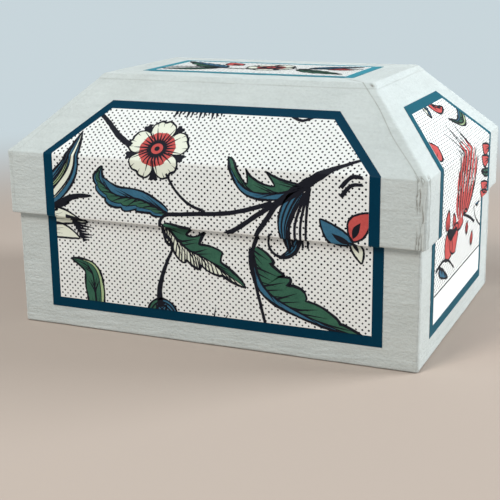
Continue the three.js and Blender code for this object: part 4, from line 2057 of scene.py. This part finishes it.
@dataclass
class Tray:
    """One lift-out tray: covered boards, paper linings and ribbon pulls."""

    level: str
    dividers: Sequence[str]
    cells: Sequence[str]
    pull_curl: float
    edge: float = 0.55
    lining: float = 0.1
    ply: float = 0.42

    @property
    def body(self) -> str:
        """The moving body, whose name its nodes' names begin with."""
        return f"{self.level}_tray"

    def build(self) -> None:
        """Build the tray and put it in the scene."""
        for part in ("floor", "front_wall", "back_wall", "left_wall", "right_wall"):
            self._board(part, BOOK_CLOTH, "cloth_covered_board")
        for part in self.dividers:
            self._board(part, BLUE_PAPER, "blue_covered_board")
        for cell in self.cells:
            self._line_cell(cell)
        for hand in ("left", "right"):
            self._pull(hand)

    def _board(self, part: str, finish: Finish, slot: str) -> None:
        """Stand a rounded board in for one of the CAD boards.

        Args:
            part: The board's name, without the tray's.
            finish: What covers it.
            slot: The record's material slot.
        """
        node = f"{self.body}_{part}"
        mesh = board_mesh(f"{node}_board", *node_box(node), self.edge)
        finish_piece(mesh.name, mesh, finish.make(), self.body, slot, [node])

    def _line_cell(self, cell: str) -> None:
        """Line the bottom of one compartment with paper.

        Args:
            cell: Where the compartment is, which names its opening in the record.
        """
        cell = f"{self.level}_{cell}_compartment"
        opening = next(o for o in frame["record"]["physics"]["openings"] if o["name"] == cell)
        low, high = (Vector(corner) / MM for corner in opening["box_m"])
        inset, gap = 0.05, 0.02
        floor = node_box(f"{self.body}_floor")[1].z + gap
        mesh = board_mesh(
            f"{cell}_bottom_paper",
            Vector((low.x + inset, low.y + inset, floor)),
            Vector((high.x - inset, high.y - inset, floor + self.lining)),
            0.02,
            1,
        )
        finish_piece(mesh.name, mesh, TRAY_FLOOR_PAPER.make(), self.body, "printed_paper")

    def _pull(self, hand: str) -> None:
        """Fold a ribbon in two for the pull on one end wall.

        Args:
            hand: Which end wall, left or right.
        """
        node = f"{self.body}_{hand}_pull"
        low, high = node_box(node)
        sign, outer = (-1, -low.x) if hand == "left" else (1, high.x)
        steps, fold_steps, ribs = 40, 8, 14
        inner_gap = 2 * self.ply + 0.12
        path = [(self._lean(i / steps), low.z + (high.z - low.z) * i / steps) for i in range(steps + 1)]
        inner = [(outer - inner_gap - lean, z) for lean, z in path]
        outward = [(outer - lean, z) for lean, z in path]
        middle, crown = (inner[-1][0] + outward[-1][0]) / 2, inner[-1][1]
        radius = (outward[-1][0] - inner[-1][0]) / 2
        centre = (middle, crown - radius)
        arc = [polar(centre, radius, math.pi * k / fold_steps) for k in range(1, fold_steps)]
        section = outward[:-1] + arc + inner[-2::-1]
        width = (high.y - low.y) / 2
        rows = [-width + 2 * width * row / ribs for row in range(ribs + 1)]
        verts = [(sign * x, y, z) for y in rows for x, z in section]
        size = len(section)
        faces = [tuple(range(size)), tuple(range(ribs * size, (ribs + 1) * size))]
        for row in range(ribs):
            for i in range(size):
                a, b = row * size + i, row * size + (i + 1) % size
                faces.append((a, b, b + size, a + size))
        name = f"{node}_ribbon"
        finish_piece(name, mesh_from(name, verts, faces), CORAL_RIBBON.make(), self.body, "ribbon", [node])

    def _lean(self, share: float) -> float:
        """Give how far the ribbon leans into the tray at a share of its length."""
        return self.pull_curl * max(0.0, share - 0.55) ** 2


@dataclass
class Base:
    """The bottom half of the box."""

    sizes: BaseSizes

    def build(self) -> None:
        """Build the base's cloth, papers and lining."""
        BaseCloth(self.sizes).build()
        papers = PaperWork("base", self.sizes.half_length, self.sizes.half_depth, self.sizes.profile())
        front, ends = front_drawing(), end_drawing()
        self._rule_band(ends, papers.band)
        papers.build([(papers.side_panel(side, 0.0), front if side.is_long else ends) for side in Side])
        for side in Side:
            node = f"tray_ledge_{side.label}"
            mesh = board_mesh(f"{node}_board", *node_box(node), 0.5)
            finish_piece(mesh.name, mesh, LINING_PAPER.make(), "base", "lined_board", [node])

    @staticmethod
    def _rule_band(drawing: Drawing, height: float) -> None:
        """Leave a plain white band along the bottom of a drawing, with a rule above it."""
        drawing.shapes = [
            shape for shape in drawing.shapes
            if min(y for face in shape.faces for _, y in face) > height - 8
        ]
        drawing.stroke([(-80 + 4 * i, height) for i in range(41)], lambda t: 1.0, rough=0.1)


@dataclass
class Lid:
    """The lift-off lid."""

    sizes: LidSizes

    def build(self) -> None:
        """Build the lid's cloth and papers."""
        LidCloth(self.sizes).build()
        sizes = self.sizes
        papers = PaperWork("lid", sizes.half_length, sizes.half_depth, sizes.profile(), sizes.crease + 0.6)
        front, ends = front_drawing(), end_drawing()
        panels = [(papers.side_panel(side, 2.0), front if side.is_long else ends) for side in Side]
        panels.append((papers.top_panel(self.sizes.top), top_drawing()))
        papers.build(panels)


def dress_frame() -> None:
    """Give every CAD solid that still shows its material."""
    for name, node in frame["nodes"].items():
        if name.endswith("_lining"):
            finish = LINING_PAPER
        elif name == "underside_sheet":
            finish = BOOK_CLOTH
        else:
            finish = GREY_BOARD
        node.data.materials.clear()
        node.data.materials.append(finish.make())


# ------------------------------------------------------------------ camera, light and floor
@dataclass(frozen=True)
class Camera:
    """The view of the box."""

    azimuth: float = 23.30
    elevation: float = 15.47
    roll: float = 0.72
    distance: float = 773.6
    aim: Point3 = (-5.4, -14.7, 40.9)
    lens: float = 80.5

    def build(self) -> None:
        """Place the camera."""
        turn, tilt = math.radians(self.azimuth), math.radians(self.elevation)
        level = math.cos(tilt)
        look = Vector((-math.sin(turn) * level, math.cos(turn) * level, -math.sin(tilt)))
        data = bpy.data.cameras.new("camera")
        data.lens = self.lens
        camera = add_object("camera", data)
        camera.location = (Vector(self.aim) - look * self.distance) * MM
        spin = Matrix.Rotation(math.radians(self.roll), 4, look)
        camera.rotation_euler = (spin @ look.to_track_quat("-Z", "Y").to_matrix().to_4x4()).to_euler()
        bpy.context.scene.camera = camera


def area_light(name: str, place: Point3, aim: Point3, size: float, power: float, colour: Colour) -> None:
    """Add a square soft light.

    Args:
        name: Its name.
        place: Where it hangs, in metres.
        aim: What it points at.
        size: Its side.
        power: Its power in watts.
        colour: Its colour.
    """
    data = bpy.data.lights.new(name, "AREA")
    data.shape, data.size, data.energy, data.color = "SQUARE", size, power, colour
    light = add_object(name, data)
    light.location = place
    light.rotation_euler = (Vector(aim) - Vector(place)).to_track_quat("-Z", "Y").to_euler()


def build_floor(near: Colour, backdrop: Colour) -> None:
    """Add a round pale floor that fades into the backdrop all round.

    Args:
        near: The floor's colour under the box.
        backdrop: The colour that it fades into.
    """
    radius, fade_start, fade_end, sides = 2.5, 0.33, 0.85, 64
    verts = [(*polar((0.0, 0.0), radius, 2 * math.pi * i / sides), 0.0) for i in range(sides)]
    mesh = bpy.data.meshes.new("floor")
    mesh.from_pydata(verts, [], [tuple(range(sides))])
    material = bpy.data.materials.new("pale floor")
    material.use_nodes = True
    graph = Graph(material.node_tree)
    shader = material.node_tree.nodes["Principled BSDF"]
    away = graph.put("ShaderNodeVectorMath", {0: graph.position()}, "Value", operation="LENGTH")
    fade = {"Value": away, "From Min": fade_start, "From Max": fade_end}
    share = graph.put("ShaderNodeMapRange", fade, "Result", interpolation_type="SMOOTHSTEP")
    graph.feed(shader.inputs["Base Color"], graph.mix(share, (*near, 1), (0, 0, 0, 1)))
    graph.feed(shader.inputs["Emission Color"], graph.mix(share, (0, 0, 0, 1), (*backdrop, 1)))
    shader.inputs["Emission Strength"].default_value = 1.0
    shader.inputs["Roughness"].default_value = 0.9
    shader.inputs["Specular IOR Level"].default_value = 0.0
    mesh.materials.append(material)
    add_object("floor", mesh)


def build_studio() -> None:
    """Add the floor, a pale backdrop, the surrounding light and the soft lights."""
    backdrop = (0.58, 0.67, 0.71)
    build_floor((0.50, 0.42, 0.365), backdrop)
    world = bpy.data.worlds.new("studio")
    world.use_nodes = True
    graph = Graph(world.node_tree)
    around = world.node_tree.nodes["Background"]
    around.inputs[0].default_value = (0.88, 0.95, 1.0, 1)
    around.inputs[1].default_value = 0.33
    seen = graph.put("ShaderNodeBackground", {0: (*backdrop, 1)})
    to_camera = graph.add("ShaderNodeLightPath").outputs["Is Camera Ray"]
    either = graph.put("ShaderNodeMixShader", {0: to_camera, 1: around.outputs[0], 2: seen})
    graph.feed(world.node_tree.nodes["World Output"].inputs[0], either)
    bpy.context.scene.world = world
    area_light("window", (1.5, 0.75, 0.72), (0, 0, 0.08), 0.9, 33.5, (0.94, 0.98, 1.0))
    area_light("sky", (-0.35, -0.75, 1.5), (0, 0, 0.08), 0.8, 8.0, (0.82, 0.95, 1.0))
    area_light("room", (-0.4, -1.2, 1.3), (0, 0, 0.08), 0.5, 13.8, (1.0, 0.935, 0.865))
    bpy.context.scene.view_settings.view_transform = "Standard"


def main() -> None:
    """Build the whole scene."""
    logging.basicConfig(level=logging.INFO, format="%(message)s")
    Camera().build()
    build_studio()
    dress_frame()
    Base(BaseSizes.read()).build()
    Lid(LidSizes.read()).build()
    dividers = ("long_divider", "left_divider", "right_divider")
    Tray("lower", ("divider",), ("left", "right"), 2.0).build()
    Tray("upper", dividers, ("front", "left", "middle", "right"), 14.0).build()


if __name__ == "__main__":
    main()
